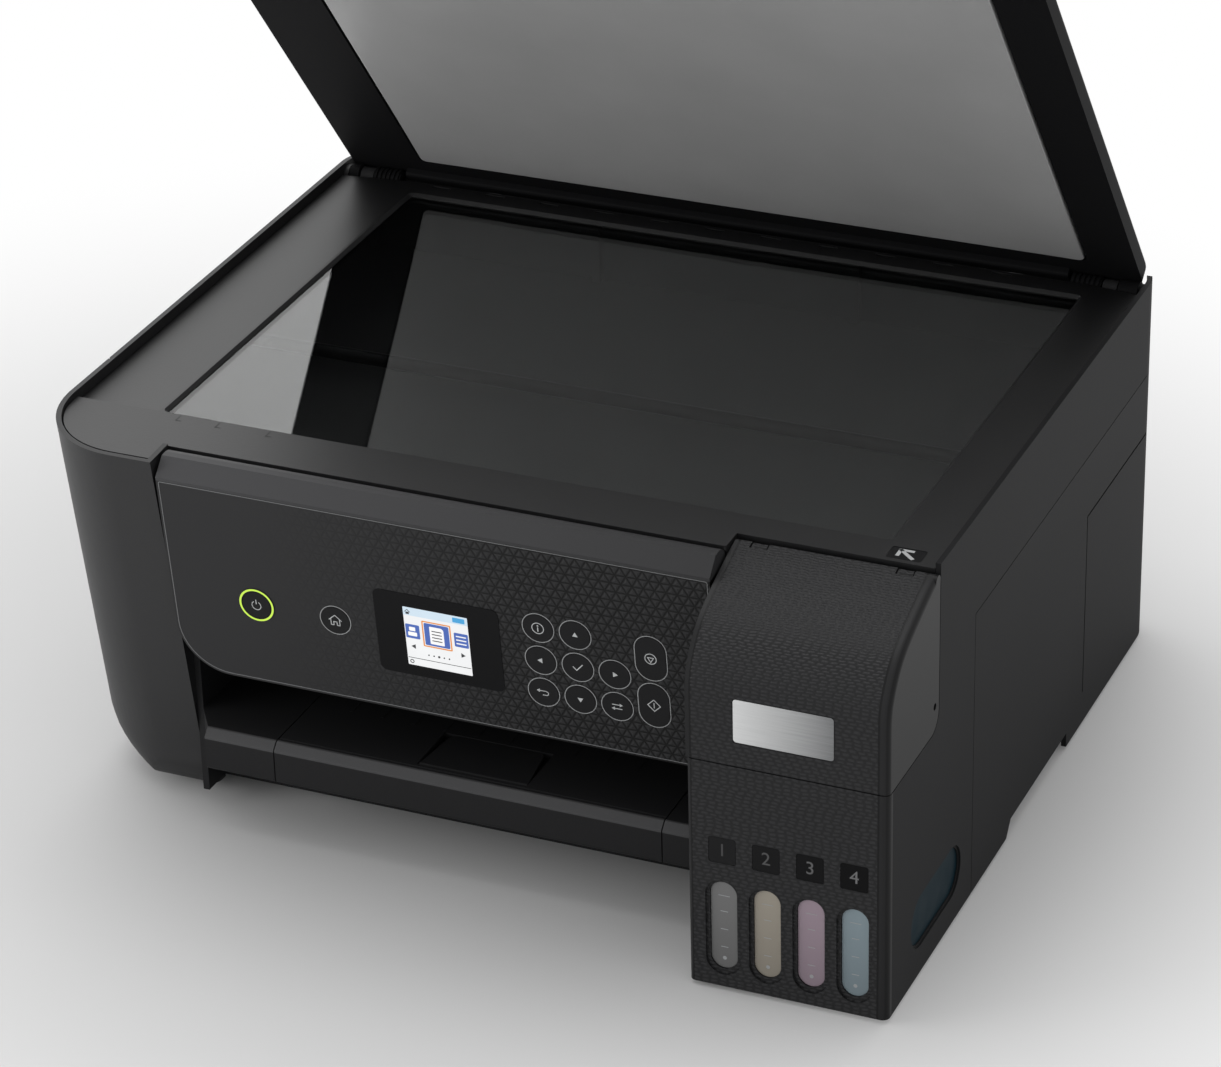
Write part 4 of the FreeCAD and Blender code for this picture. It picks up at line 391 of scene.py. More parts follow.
def drawn_steel(name, dark, pale):
    """Drawn or rolled steel, plated or blackened, with fine streaks along its length."""
    material, tree, shader, place = new_material(name, {"Metallic": 1.0})
    across = 1 / (0.6 * MM)
    drawn = add_node(tree, "ShaderNodeMapping", {"Vector": place, "Scale": (1 / (30 * MM), across, across)})
    streak = add_node(tree, "ShaderNodeTexNoise", {"Vector": drawn, "Scale": 1.0, "Detail": 3.0})
    vary_roughness(tree, shader, streak, 0.25, 0.5)
    two_tone(tree, shader, streak, linear(dark), linear(pale))
    return material


def silver_plate():
    """Brushed and lacquered aluminium plate, streaked along its length, with a painted reflection that makes
    it paler at its left end and darker towards its right.
    """
    material, tree, shader, place = new_material("brushed_aluminium", {"Metallic": 0.75, "Coat Weight": 0.3})
    scale = (1 / (20 * MM), 1.0, 1 / (0.5 * MM))
    drawn = add_node(tree, "ShaderNodeMapping", {"Vector": place, "Scale": scale})
    streak = add_node(tree, "ShaderNodeTexNoise", {"Vector": drawn, "Scale": 1.0, "Detail": 4.0})
    vary_roughness(tree, shader, streak, 0.3, 0.42)
    along = add_node(tree, "ShaderNodeSeparateXYZ", {0: place})
    # painted reflection: the plate is coloured paler at its left end and darker towards its right
    fade = add_node(tree, "ShaderNodeMapRange", {"Value": along.outputs["X"], 1: 126 * MM, 2: 166 * MM})
    shade = add_node(tree, "ShaderNodeMath", {0: streak, 1: 0.25, 2: fade}, operation="MULTIPLY_ADD")
    two_tone(tree, shader, shade, linear("#E4E5E5"), linear("#8A8B8C"))
    return material


def circuit_board():
    """Green solder mask over copper tracks, with the black moulded socket at its rear edge."""
    material, tree, shader, place = new_material("solder_mask", {"Roughness": 0.3, "IOR": 1.5})
    tracks = add_node(tree, "ShaderNodeTexBrick",
                      {"Vector": place, "Scale": 1 / (9 * MM), "Mortar Size": 0.06,
                       "Color1": linear("#24553A"), "Color2": linear("#2A5E41"), "Mortar": linear("#3F7A50")})
    away = add_node(tree, "ShaderNodeVectorMath", {0: place, 1: DATA_SOCKET}, operation="DISTANCE")
    socket = add_node(tree, "ShaderNodeMath", {0: away.outputs["Value"], 1: 17 * MM}, operation="LESS_THAN")
    two_tone(tree, shader, socket, tracks.outputs["Color"], linear("#202122"))
    return material


def glowing(name, shade, strength):
    """Lit surface: a light guide or a back-lit screen, a little uneven as real ones are."""
    material, tree, shader, place = new_material(
        name, {"Roughness": 0.35, "Base Color": (0.02, 0.02, 0.02, 1), "Emission Strength": strength})
    uneven = add_node(tree, "ShaderNodeTexNoise", {"Vector": place, "Scale": 1 / (12 * MM)})
    mixed = add_node(tree, "ShaderNodeMix", {0: uneven, 6: shaded(shade, 0.9), 7: shade}, data_type="RGBA")
    tree.links.new(mixed.outputs[2], shader.inputs["Emission Color"])
    return material


def light_line():
    """Smoked light guide whose light comes out along one thin line round the power key."""
    material, tree, shader, place = new_material(
        "lit_light_guide",
        {"Roughness": 0.3, "Base Color": linear("#151516"), "Emission Color": tint("light")})
    lean = (FACE_TOP - FACE_BOTTOM).normalized().z
    x, down = ROUND_KEYS["power_button"]
    middle = (x * MM, 0, FACE_TOP.z / lean - down * MM)
    flat = add_node(tree, "ShaderNodeVectorMath", {0: place, 1: (1, 0, 1 / lean)}, operation="MULTIPLY")
    away = add_node(tree, "ShaderNodeVectorMath", {0: flat, 1: middle}, operation="DISTANCE")
    line = add_node(tree, "ShaderNodeMath", {0: away.outputs["Value"], 1: 7.1 * MM, 2: 0.42 * MM},
                    operation="COMPARE")
    power = add_node(tree, "ShaderNodeMath", {0: line, 1: 1.1}, operation="MULTIPLY")
    tree.links.new(power.outputs[0], shader.inputs["Emission Strength"])
    return material


def printed_ink(name, shade):
    """Screen-printed ink: flat and dull, with the slight mottle of the screen."""
    material, tree, shader, place = new_material(name, {"Roughness": 0.55})
    mottle = add_node(tree, "ShaderNodeTexNoise", {"Vector": place, "Scale": 1 / (0.8 * MM)})
    two_tone(tree, shader, mottle, shaded(shade, 0.9), shade)
    return material


def face_place():
    """Matrix of the control panel face: X right, Y up the face, Z out of it."""
    up = (FACE_TOP - FACE_BOTTOM).normalized()
    out = Vector((1, 0, 0)).cross(up)
    return Matrix.Translation(FACE_TOP) @ Matrix((Vector((1, 0, 0)), up, out)).transposed().to_4x4()


def upright(y):
    """Matrix of an upright plane at a depth y: X right, Y up, Z to the front."""
    return Matrix.Translation((0, y, 0)) @ Matrix.Rotation(math.radians(90), 4, "X")


def flat_bar(bm, start, end, width):
    """Straight stroke between two points of the drawing plane."""
    a, b = Vector((*start, 0)), Vector((*end, 0))
    run = b - a
    turn = Matrix.Rotation(math.atan2(run.y, run.x), 4, "Z")
    stretch = Matrix.Diagonal((run.length + width * 0.6, width, 1, 1))
    bmesh.ops.create_grid(bm, x_segments=1, y_segments=1, size=0.5,
                          matrix=Matrix.Translation((a + b) / 2) @ turn @ stretch)


def flat_path(bm, points, width):
    """Strokes along a row of points."""
    for start, end in zip(points, points[1:]):
        flat_bar(bm, start, end, width)


def flat_disc(bm, x, y, r, corners=28, turn=0.0):
    place = Matrix.Translation((x, y, 0)) @ Matrix.Rotation(turn, 4, "Z")
    return bmesh.ops.create_circle(bm, cap_ends=True, segments=corners, radius=r, matrix=place)


def leave_band(bm, face, width):
    """Cuts the middle out of a face."""
    bmesh.ops.inset_region(bm, faces=[face], thickness=width, use_boundary=True, use_even_offset=True)
    bmesh.ops.delete(bm, geom=[face], context="FACES_ONLY")


def flat_ring(bm, x, y, r, width, corners=40, turn=0.0):
    """Band whose outer radius is r."""
    disc = flat_disc(bm, x, y, r, corners, turn)
    leave_band(bm, disc["verts"][0].link_faces[0], width)


def flat_plate(bm, x0, x1, y0, y1, radii, segments=6):
    """Rectangle with its corners rounded; radii go from the low corner anticlockwise."""
    place = Matrix.Translation(((x0 + x1) / 2, (y0 + y1) / 2, 0)) @ Matrix.Diagonal((x1 - x0, y1 - y0, 1, 1))
    before = set(bm.faces)
    made = bmesh.ops.create_grid(bm, x_segments=1, y_segments=1, size=0.5, matrix=place)["verts"]
    spots = [(x0, y0), (x1, y0), (x1, y1), (x0, y1)]
    corners = [min(made, key=lambda v: (v.co.x - sx) ** 2 + (v.co.y - sy) ** 2) for sx, sy in spots]
    for corner, radius in zip(corners, radii):
        if radius > 0:
            bmesh.ops.bevel(bm, geom=[corner], offset=radius, offset_type="OFFSET", segments=segments,
                            profile=0.5, affect="VERTICES", material=-1)
    return [face for face in bm.faces if face not in before][0]


def flat_frame(bm, x0, x1, y0, y1, radii, width, segments=8):
    leave_band(bm, flat_plate(bm, x0, x1, y0, y1, radii, segments), width)


def thicken(bm, height):
    """Gives every flat face a thickness along Z."""
    made = bmesh.ops.extrude_face_region(bm, geom=bm.faces[:], use_keep_orig=True)["geom"]
    bmesh.ops.translate(bm, verts=[g for g in made if isinstance(g, bmesh.types.BMVert)], vec=(0, 0, height))


def settle(bm, name, body, material, place=None, height=0.0):
    """Ends a piece: gives a flat one its height, puts its place into its mesh and lets it ride on a body."""
    if height:
        thicken(bm, height)
    bmesh.ops.remove_doubles(bm, verts=bm.verts[:], dist=0.000001)
    if place is not None:
        bmesh.ops.transform(bm, matrix=place, verts=bm.verts[:])
    bmesh.ops.recalc_face_normals(bm, faces=bm.faces[:])
    mesh = bpy.data.meshes.new(name)
    bm.to_mesh(mesh)
    bm.free()
    mesh.materials.append(material)
    piece = bpy.data.objects.new(name, mesh)
    bpy.context.scene.collection.objects.link(piece)
    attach(piece, body)
    return piece


def number_mesh(bm, text, height, place):
    """Adds a plain number to a piece as flat faces standing in the drawing plane."""
    curve = bpy.data.curves.new("number", type="FONT")
    curve.body = text
    curve.size = height / 0.69
    curve.align_x = "CENTER"
    curve.align_y = "CENTER"
    holder = bpy.data.objects.new("number", curve)
    bpy.context.scene.collection.objects.link(holder)
    bpy.context.view_layer.update()
    mesh = bpy.data.meshes.new_from_object(holder)
    mesh.transform(place)
    bm.from_mesh(mesh)
    bpy.data.objects.remove(holder)
    bpy.data.curves.remove(curve)
    bpy.data.meshes.remove(mesh)


class PRINTER_OT_finishes(bpy.types.Operator):
    """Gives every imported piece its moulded, plated or rubber finish"""
    bl_idname = "printer.finishes"
    bl_label = "Finish the packed pieces"

    def execute(self, context):
        grain = sizes().mould_grain
        casing = moulded_plastic("moulded_abs_casing", tint("casing"), 0.6, grain)
        left = moulded_plastic("moulded_abs_left_casing", tint("casing"), 0.5, grain, sheen=0.35)
        inner = moulded_plastic("moulded_hips_inner", linear("#171718"), 0.55, grain)
        deck = moulded_plastic("moulded_abs_deck", tint("deck"), 0.42, grain, sheen=0.45)
        bed = moulded_plastic("moulded_hips_scanner_bed", linear("#2E2E2F"), 0.55, grain)
        lid = lid_plastic()
        keys = moulded_plastic("satin_abs_keys", tint("key"), 0.4, grain * 0.6, 0.01 * MM)
        rubber = moulded_plastic("moulded_rubber", linear("#1C1C1C"), 0.75, grain * 1.5, 0.06 * MM)
        acetal = moulded_plastic("natural_acetal", linear("#D3D0C6"), 0.4, grain)
        tank = rippled_plastic()
        tray = tray_plastic_painted_highlight()
        steel = drawn_steel("plated_steel", "#8F9294", "#C4C6C8")
        black_steel = drawn_steel("blackened_steel", "#0B0B0C", "#161617")
        by_slot = {
            "black_plastic": casing, "inner_plastic": inner, "deck_plastic": deck, "key_plastic": keys,
            "rubber": rubber, "white_gear": acetal, "tank_plastic": tank, "steel": steel,
            "panel_plastic": embossed_plastic(), "board": circuit_board(), "scan_glass": float_glass(),
            "gloss_window": gloss_plastic("polished_black_acrylic", linear("#08080A"), 0.12, 0.15),
            "light_guide": light_line(),
            "tank_clear": gloss_plastic("milky_polypropylene", linear("#6F7072"), 0.3),
            "pad_foam": pad_film(),
        }
        for ink, code in CAPS.items():
            by_slot["cap_%s_rubber" % ink] = moulded_plastic("rubber_cap_" + ink, linear(code), 0.6, grain)
        own = {
            "left_side_panel": left, "rear_cover": left, "scanner_tray": bed, "lid_shell": lid,
            "lid_hinges": lid, "tray_extension": tray, "front_frame": tray, "scan_rail": black_steel,
            "hinge_pins": black_steel,
        }
        for part in frame["record"]["subparts"]:
            node = frame["nodes"][part["node"]]
            node.data.materials.clear()
            node.data.materials.append(own.get(part["node"], by_slot[part["material_slot"]]))
        return {"FINISHED"}


class PRINTER_OT_left_foot(bpy.types.Operator):
    """Rounds the foot of the left leg and draws in the end of the tray platform beside it"""
    bl_idname = "printer.left_foot"
    bl_label = "Left foot"

    def execute(self, context):
        for name, shape, levels in (("left_side_panel", self.lean_back, 14), ("base_case", self.round_in, 0),
                                    ("front_frame", self.draw_in, 0)):
            node = frame["nodes"][name]
            bm = bmesh.new()
            bm.from_mesh(node.data)
            bmesh.ops.remove_doubles(bm, verts=bm.verts[:], dist=0.000001)
            # close cuts give the leg points to bend at
            for i in range(levels):
                rise = FOOT_Z + (LEG_KNEE - FOOT_Z) * ((i + 0.2) / levels) ** 1.7
                for spot, normal in (((0, 0, rise), (0, 0, 1)), ((0, (-100 + 5 * i) * MM, 0), (0, 1, 0))):
                    geom = bm.verts[:] + bm.edges[:] + bm.faces[:]
                    bmesh.ops.bisect_plane(bm, geom=geom, plane_co=spot, plane_no=normal)
            for vert in bm.verts:
                shape(vert.co)
            for edge in bm.edges:
                edge.smooth = edge.calc_face_angle(math.pi) < math.radians(30)
            piece = settle(bm, name + "_shaped", "chassis", node.data.materials[0])
            piece.data.shade_smooth()
            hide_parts(name)
        return {"FINISHED"}

    def round_in(self, co):
        """Moves a point near the foot inwards along a quarter circle."""
        low = max(0.0, min(1.0, 1 - (co.z - FOOT_Z) / FOOT_R))
        near = max(0.0, min(1.0, 1 - (co.x - CAD_BOX[0][0]) / LEG_WIDTH))
        co.x += FOOT_REACH * (1 - math.sqrt(1 - low ** 2)) * near * self.ahead(co)

    def lean_back(self, co):
        """Carries the lean of the leg's front down to the foot and rounds the foot."""
        share = self.ahead(co)
        self.round_in(co)
        co.y += LEG_LEAN * max(0.0, LEG_KNEE - max(co.z, LEG_LOW)) * share

    def ahead(self, co):
        """Share of the foot's shape that a point takes, which fades out behind the leg."""
        t = max(0.0, min(1.0, (LEG_BACK - co.y) / (LEG_BACK - LEG_FRONT)))
        return t * t * (3 - 2 * t)

    def draw_in(self, co):
        """Moves the front corner of the platform away from the leg."""
        if co.x < PLATFORM_X and co.y < PLATFORM_Y and co.z < PLATFORM_Z:
            co.x += 9 * MM


class PRINTER_OT_document_pad(bpy.types.Operator):
    """Makes the grey pad that presses sheets on the glass"""
    bl_idname = "printer.document_pad"
    bl_label = "Document pad"

    def execute(self, context):
        x0, x1, y0, y1 = -146 * MM, 160 * MM, -106 * MM, 130.5 * MM
        low, high = 168.2 * MM, 171.4 * MM
        crown = sizes().pad_crown
        bm = bmesh.new()
        centre = Vector(((x0 + x1) / 2, (y0 + y1) / 2, high))
        place = Matrix.Translation(centre) @ Matrix.Diagonal((x1 - x0, y1 - y0, 1, 1))
        bmesh.ops.create_grid(bm, x_segments=36, y_segments=28, size=0.5, matrix=place)
        corners = [v for v in bm.verts if len(v.link_edges) == 2]
        bmesh.ops.bevel(bm, geom=corners, offset=3 * MM, offset_type="OFFSET", segments=5, profile=0.5,
                        affect="VERTICES", material=-1)
        made = bmesh.ops.extrude_face_region(bm, geom=bm.faces[:], use_keep_orig=True)["geom"]
        face = [g for g in made if isinstance(g, bmesh.types.BMVert)]
        bmesh.ops.translate(bm, verts=face, vec=(0, 0, low - high))
        for v in face:
            u = 2 * abs(v.co.x - centre.x) / (x1 - x0)
            w = 2 * abs(v.co.y - centre.y) / (y1 - y0)
            v.co.z += crown * max(u ** 8, w ** 8)
        for v in bm.verts:
            u = 2 * (v.co.x - centre.x) / (x1 - x0)
            w = 2 * (v.co.y - centre.y) / (y1 - y0)
            v.co.x -= u * 0.5 * MM * (1 - w ** 4) * abs(u) ** 12
            v.co.y -= w * 0.5 * MM * (1 - u ** 4) * abs(w) ** 12
        opened = (Matrix.Translation(HINGE) @ Matrix.Rotation(math.radians(-LID_OPEN), 4, "X")
                  @ Matrix.Translation(-HINGE))
        pad = settle(bm, "document_pad_soft", "lid", bpy.data.materials["grey_foam_film"], opened)
        bevel = pad.modifiers.new("rim", "BEVEL")
        bevel.width = 0.6 * MM
        bevel.segments = 3
        bevel.limit_method = "ANGLE"
        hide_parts("document_pad")
        return {"FINISHED"}


class PRINTER_OT_key_signs(bpy.types.Operator):
    """Prints the signs on the keys and the lines round them"""
    bl_idname = "printer.key_signs"
    bl_label = "Key signs and outlines"

    def execute(self, context):
        ink = printed_ink("screen_print_grey", tint("sign"))
        line = printed_ink("screen_print_line", tint("sign", 0.6))
        place = face_place()
        for name, (x, down) in {**ROUND_KEYS, **LONG_KEYS}.items():
            bm = bmesh.new()
            self.sign(bm, name, 0.34 * MM)
            spot = place @ Matrix.Translation((x * MM, -down * MM, KEY_TOP))
            settle(bm, name + "_sign", name, ink, spot, sizes().mark_height)
        bm = bmesh.new()
        width = sizes().line_width
        for name, (x, down) in ROUND_KEYS.items():
            if name != "power_button":
                flat_ring(bm, x * MM, -down * MM, KEY_HOLE + width, width)
        for x, down in LONG_KEYS.values():
            w, h = KEY_HOLE + width, 10.15 * MM + width
            flat_frame(bm, x * MM - w, x * MM + w, -down * MM - h, -down * MM + h, [w * 0.995] * 4, width, 10)
        settle(bm, "key_outlines", "control_panel", line, place, sizes().mark_height)
        return {"FINISHED"}

    def sign(self, bm, name, w):
        """Sign of one key, drawn about its middle with strokes of width w."""
        k = MM
        if name == "power_button":
            flat_bar(bm, (0, 0.6 * k), (0, 2.6 * k), w)
            points = [(2 * k * math.sin(a), -0.1 * k + 2 * k * math.cos(a))
                      for a in [math.radians(35 + 29 * i) for i in range(11)]]
            flat_path(bm, points, w)
        elif name == "home_button":
            roof = [(-2.7 * k, 0.1 * k), (0, 2.5 * k), (2.7 * k, 0.1 * k)]
            walls = [(-1.9 * k, 0.6 * k), (-1.9 * k, -2.2 * k), (-0.7 * k, -2.2 * k), (-0.7 * k, -0.6 * k),
                     (0.7 * k, -0.6 * k), (0.7 * k, -2.2 * k), (1.9 * k, -2.2 * k), (1.9 * k, 0.6 * k)]
            flat_path(bm, roof, w)
            flat_path(bm, walls, w)
        elif name == "help_button":
            flat_ring(bm, 0, 0, 2.6 * k, w)
            flat_disc(bm, 0, 1.15 * k, 0.35 * k, 12)
            flat_bar(bm, (0, 0.3 * k), (0, -1.4 * k), w * 1.3)
        elif name in ("up_button", "left_button", "down_button", "right_button"):
            turn = {"up_button": 90, "left_button": 180, "down_button": 270, "right_button": 0}[name]
            flat_disc(bm, 0, 0, 1.35 * k, 3, math.radians(turn - 90))
        elif name == "ok_button":
            flat_path(bm, [(-1.9 * k, 0.1 * k), (-0.5 * k, -1.4 * k), (2.1 * k, 1.6 * k)], w * 1.2)
        elif name == "back_button":
            points = [(-2 * k, 0.7 * k), (1.2 * k, 0.7 * k), (2 * k, 0.2 * k), (2 * k, -0.7 * k),
                      (1.3 * k, -1.2 * k), (-0.3 * k, -1.2 * k)]
            flat_path(bm, points, w)
            flat_disc(bm, -2.0 * k, 0.7 * k, 0.9 * k, 3, math.radians(90))
        elif name == "options_button":
            flat_bar(bm, (-2 * k, 0.9 * k), (1.2 * k, 0.9 * k), w)
            flat_bar(bm, (-1.2 * k, -0.9 * k), (2 * k, -0.9 * k), w)
            flat_disc(bm, 1.5 * k, 0.9 * k, 0.9 * k, 3, math.radians(-90))
            flat_disc(bm, -1.5 * k, -0.9 * k, 0.9 * k, 3, math.radians(90))
        elif name == "stop_button":
            flat_ring(bm, 0, 0, 2.5 * k, w)
            flat_ring(bm, 0, -0.2 * k, 1.75 * k, w, 3, math.radians(180))
        elif name == "start_button":
            flat_ring(bm, 0, 0, 2.9 * k, w, 4, 0)
            flat_bar(bm, (0, 1.1 * k), (0, -1.1 * k), w * 1.1)


class PRINTER_OT_panel_trim(bpy.types.Operator):
    """Draws a painted highlight: a thin pale line along the edge of the control panel face"""
    bl_idname = "printer.panel_trim"
    bl_label = "Panel edge line"

    def execute(self, context):
        high = (FACE_TOP - FACE_BOTTOM).length
        bm = bmesh.new()
        inset = 0.9 * MM
        flat_frame(bm, -128 * MM + inset, 105.5 * MM - inset, -high + inset, -1.6 * MM,
                   (21.2 * MM, 2.2 * MM, 1 * MM, 1 * MM), sizes().line_width, 12)
        # painted highlight: a pale band where the bevelled edge of the panel catches light
        settle(bm, "panel_edge_line", "control_panel",
               printed_ink("edge_line", linear("#6E6F70")), face_place(), sizes().mark_height)
        return {"FINISHED"}


class PRINTER_OT_display(bpy.types.Operator):
    """Makes the lit screen behind the display window with plain tiles on it"""
    bl_idname = "printer.display"
    bl_label = "Display"

    def execute(self, context):
        k = MM
        place = face_place() @ Matrix.Translation((-11.35 * k, -53.55 * k, 0.15 * k))
        layers = [
            ("screen_ground", "#F4F5F6", 0.05, self.ground),
            ("screen_bar", "#D3E6F4", 0.09, self.top_bar),
            ("screen_blue", "#3F62B5", 0.13, self.tiles),
            ("screen_sky", "#3FA3DC", 0.13, self.corner_tile),
            ("screen_orange", "#E9903F", 0.14, self.chosen),
            ("screen_paper", "#FFFFFF", 0.18, self.papers),
            ("screen_dark", "#2B2D30", 0.2, self.signs),
        ]
        for name, code, height, shape in layers:
            bm = bmesh.new()
            shape(bm)
            light = glowing(name + "_light", linear(code), 1.0)
            settle(bm, name, "control_panel", light, place, height * k)
        return {"FINISHED"}

    def ground(self, bm):
        flat_plate(bm, -SCREEN, SCREEN, -SCREEN, SCREEN, [0.3 * MM] * 4)

    def top_bar(self, bm):
        flat_plate(bm, -SCREEN, SCREEN, 10 * MM, SCREEN, [0, 0, 0.3 * MM, 0.3 * MM])

    def corner_tile(self, bm):
        flat_plate(bm, 7.4 * MM, 12.6 * MM, 10.7 * MM, 13 * MM, [0.3 * MM] * 4)

    def chosen(self, bm):
        flat_frame(bm, -6.2 * MM, 6.2 * MM, -3.6 * MM, 8.6 * MM, [0.5 * MM] * 4, 0.55 * MM)

    def tiles(self, bm):
        k = MM
        flat_plate(bm, -5.3 * k, 5.3 * k, -2.7 * k, 7.7 * k, [0.6 * k] * 4)
        flat_plate(bm, -13.4 * k, -7.4 * k, -0.8 * k, 5.8 * k, [0.5 * k] * 4)
        flat_plate(bm, 7.4 * k, 13.4 * k, -0.8 * k, 5.8 * k, [0.5 * k] * 4)

    def papers(self, bm):
        k = MM
        flat_plate(bm, -3 * k, 3 * k, -1.8 * k, 6.4 * k, [0.3 * k, 0.3 * k, 1.4 * k, 0.3 * k])
        flat_plate(bm, -12.4 * k, -8.6 * k, 0.4 * k, 2.2 * k, [0.3 * k] * 4)
        flat_plate(bm, -11.8 * k, -9.2 * k, 2.8 * k, 4.6 * k, [0.2 * k] * 4)
        for y in (0.8, 2.5, 4.2):
            flat_bar(bm, (8.4 * k, y * k), (12.4 * k, y * k), 0.5 * k)

    def signs(self, bm):
        k = MM
        for y in (4.4, 2.9, 1.4, -0.1):
            flat_bar(bm, (-2 * k, y * k), (2 * k, y * k), 0.45 * k)
        flat_disc(bm, -10.4 * k, -4.6 * k, 1.2 * k, 3, math.radians(90))
        flat_disc(bm, 10.4 * k, -4.6 * k, 1.2 * k, 3, math.radians(-90))
        for i in range(5):
            flat_disc(bm, (i - 2) * 2.2 * k, -7.6 * k, 0.5 * k if i == 2 else 0.32 * k, 14)
        edge = 13.4 * k
        flat_bar(bm, (-edge, -10.2 * k), (edge, -10.2 * k), 0.18 * k)
        flat_ring(bm, -12 * k, -12 * k, 0.9 * k, 0.3 * k, 20)
        roof = [(-13 * k, 11.6 * k), (-11.9 * k, 12.7 * k), (-10.8 * k, 11.6 * k)]
        flat_path(bm, roof, 0.25 * k)
        flat_plate(bm, -12.6 * k, -11.2 * k, 10.6 * k, 11.6 * k, [0] * 4)


class PRINTER_OT_ink_windows(bpy.types.Operator):
    """Makes the tank windows with their level marks and numbered tiles"""
    bl_idname = "printer.ink_windows"
    bl_label = "Ink windows"

    def execute(self, context):
        k = MM
        tile_shades = ("#1D1D1E", "#161617", "#0E0E0F", "#070708")
        number_shades = ("#3A3A3B", "#4A4A4B", "#5A5A5B", "#6E6E6F")
        mark_paint = printed_ink("level_mark", linear("#A2A4A6"))
        for i, x in enumerate(TANK_X):
            bm = bmesh.new()
            w = 5.35 * k
            flat_plate(bm, x * k - w, x * k + w, 9.65 * k, 48.35 * k, [w * 0.995] * 4, 12)
            resin = window_resin("resin_" + INKS[i], tint(INKS[i]))
            settle(bm, "window_%d" % (i + 1), "chassis", resin, upright(WINDOW_Y), 0.9 * k)
            bm = bmesh.new()
            for z in (19, 27, 35, 42):
                reach = 2.2 if z == 42 else 1.4
                flat_bar(bm, ((x - reach) * k, z * k), ((x + reach) * k, z * k), 0.3 * k)
            flat_disc(bm, x * k, 14 * k, 0.8 * k, 16)
            settle(bm, "level_marks_%d" % (i + 1), "chassis", mark_paint,
                   upright(WINDOW_Y - 0.9 * k), 0.05 * k)
            bm = bmesh.new()
            flat_plate(bm, (x - 5.4) * k, (x + 5.4) * k, 57.4 * k, 68.4 * k, [0.9 * k] * 4)
            settle(bm, "number_tile_%d" % (i + 1), "chassis",
                   gloss_plastic("polished_tile_%d" % (i + 1), linear(tile_shades[i]), 0.4, 0.1),
                   upright(TILE_Y), 0.25 * k)
            bm = bmesh.new()
            number_mesh(bm, str(i + 1), 5.4 * k, Matrix.Translation((x * k, 62.9 * k, 0)))
            settle(bm, "number_%d" % (i + 1), "chassis",
                   printed_ink("tile_number_%d" % (i + 1), linear(number_shades[i])),
                   upright(TILE_Y - 0.25 * k), 0.05 * k)
        bm = bmesh.new()
        flat_plate(bm, -146.8 * k, -92.2 * k, 15.2 * k, 35.8 * k, [10.2 * k] * 4, 12)
        side = Matrix.Translation((185.4 * k, 0, 0)) @ Matrix.Rotation(math.radians(90), 4, "Z") @ upright(0)
        settle(bm, "side_window", "chassis",
               gloss_plastic("teal_resin", linear("#08222B"), 0.35, 0.03), side, 0.8 * k)
        return {"FINISHED"}


class PRINTER_OT_badge_plate(bpy.types.Operator):
    """Seats the bare silver plate in the tank cover"""
    bl_idname = "printer.badge_plate"
    bl_label = "Silver plate"

    def execute(self, context):
        k = MM
        bm = bmesh.new()
        flat_plate(bm, 126 * k, 165.8 * k, 111.6 * k, 129.8 * k, [1.2 * k] * 4)
        settle(bm, "badge_plate", "ink_cover", silver_plate(), upright(-173.2 * k), 0.28 * k)
        return {"FINISHED"}


class PRINTER_OT_deck_marks(bpy.types.Operator):
    """Makes the corner arrow and the sheet length ticks of the scanner deck"""
    bl_idname = "printer.deck_marks"
    bl_label = "Deck marks"

    def execute(self, context):
        k = MM
        bm = bmesh.new()
        flat_plate(bm, 164.7 * k, 178.3 * k, -116 * k, -107.2 * k, [1.1 * k] * 4)
        settle(bm, "arrow_tile", "scanner_unit",
               moulded_plastic("arrow_tile_abs", linear("#1B1B1C"), 0.4, sizes().mould_grain),
               Matrix.Translation((0, 0, 167.7 * k)), 0.15 * k)
        bm = bmesh.new()
        tip = (168.3, -108.8)
        for a, b in ((tip, (174.6, -114.4)), (tip, (168.3, -113.2)), (tip, (173.2, -108.8))):
            flat_bar(bm, (a[0] * k, a[1] * k), (b[0] * k, b[1] * k), 1.5 * k)
        settle(bm, "corner_arrow", "scanner_unit",
               printed_ink("arrow_paint", linear("#B4B5B6")),
               Matrix.Translation((0, 0, 167.85 * k)), 0.08 * k)
        bm = bmesh.new()
        for x in (-137.6, -120.0, -97.6):
            flat_bar(bm, (x * k, -104.2 * k), (x * k, -108.4 * k), 0.5 * k)
            flat_bar(bm, (x * k, -108.4 * k), ((x + 2.2) * k, -108.4 * k), 0.5 * k)
        settle(bm, "sheet_ticks", "scanner_unit",
               printed_ink("tick_paint", linear("#151515")), Matrix.Translation((0, 0, 168 * k)), 0.06 * k)
        return {"FINISHED"}


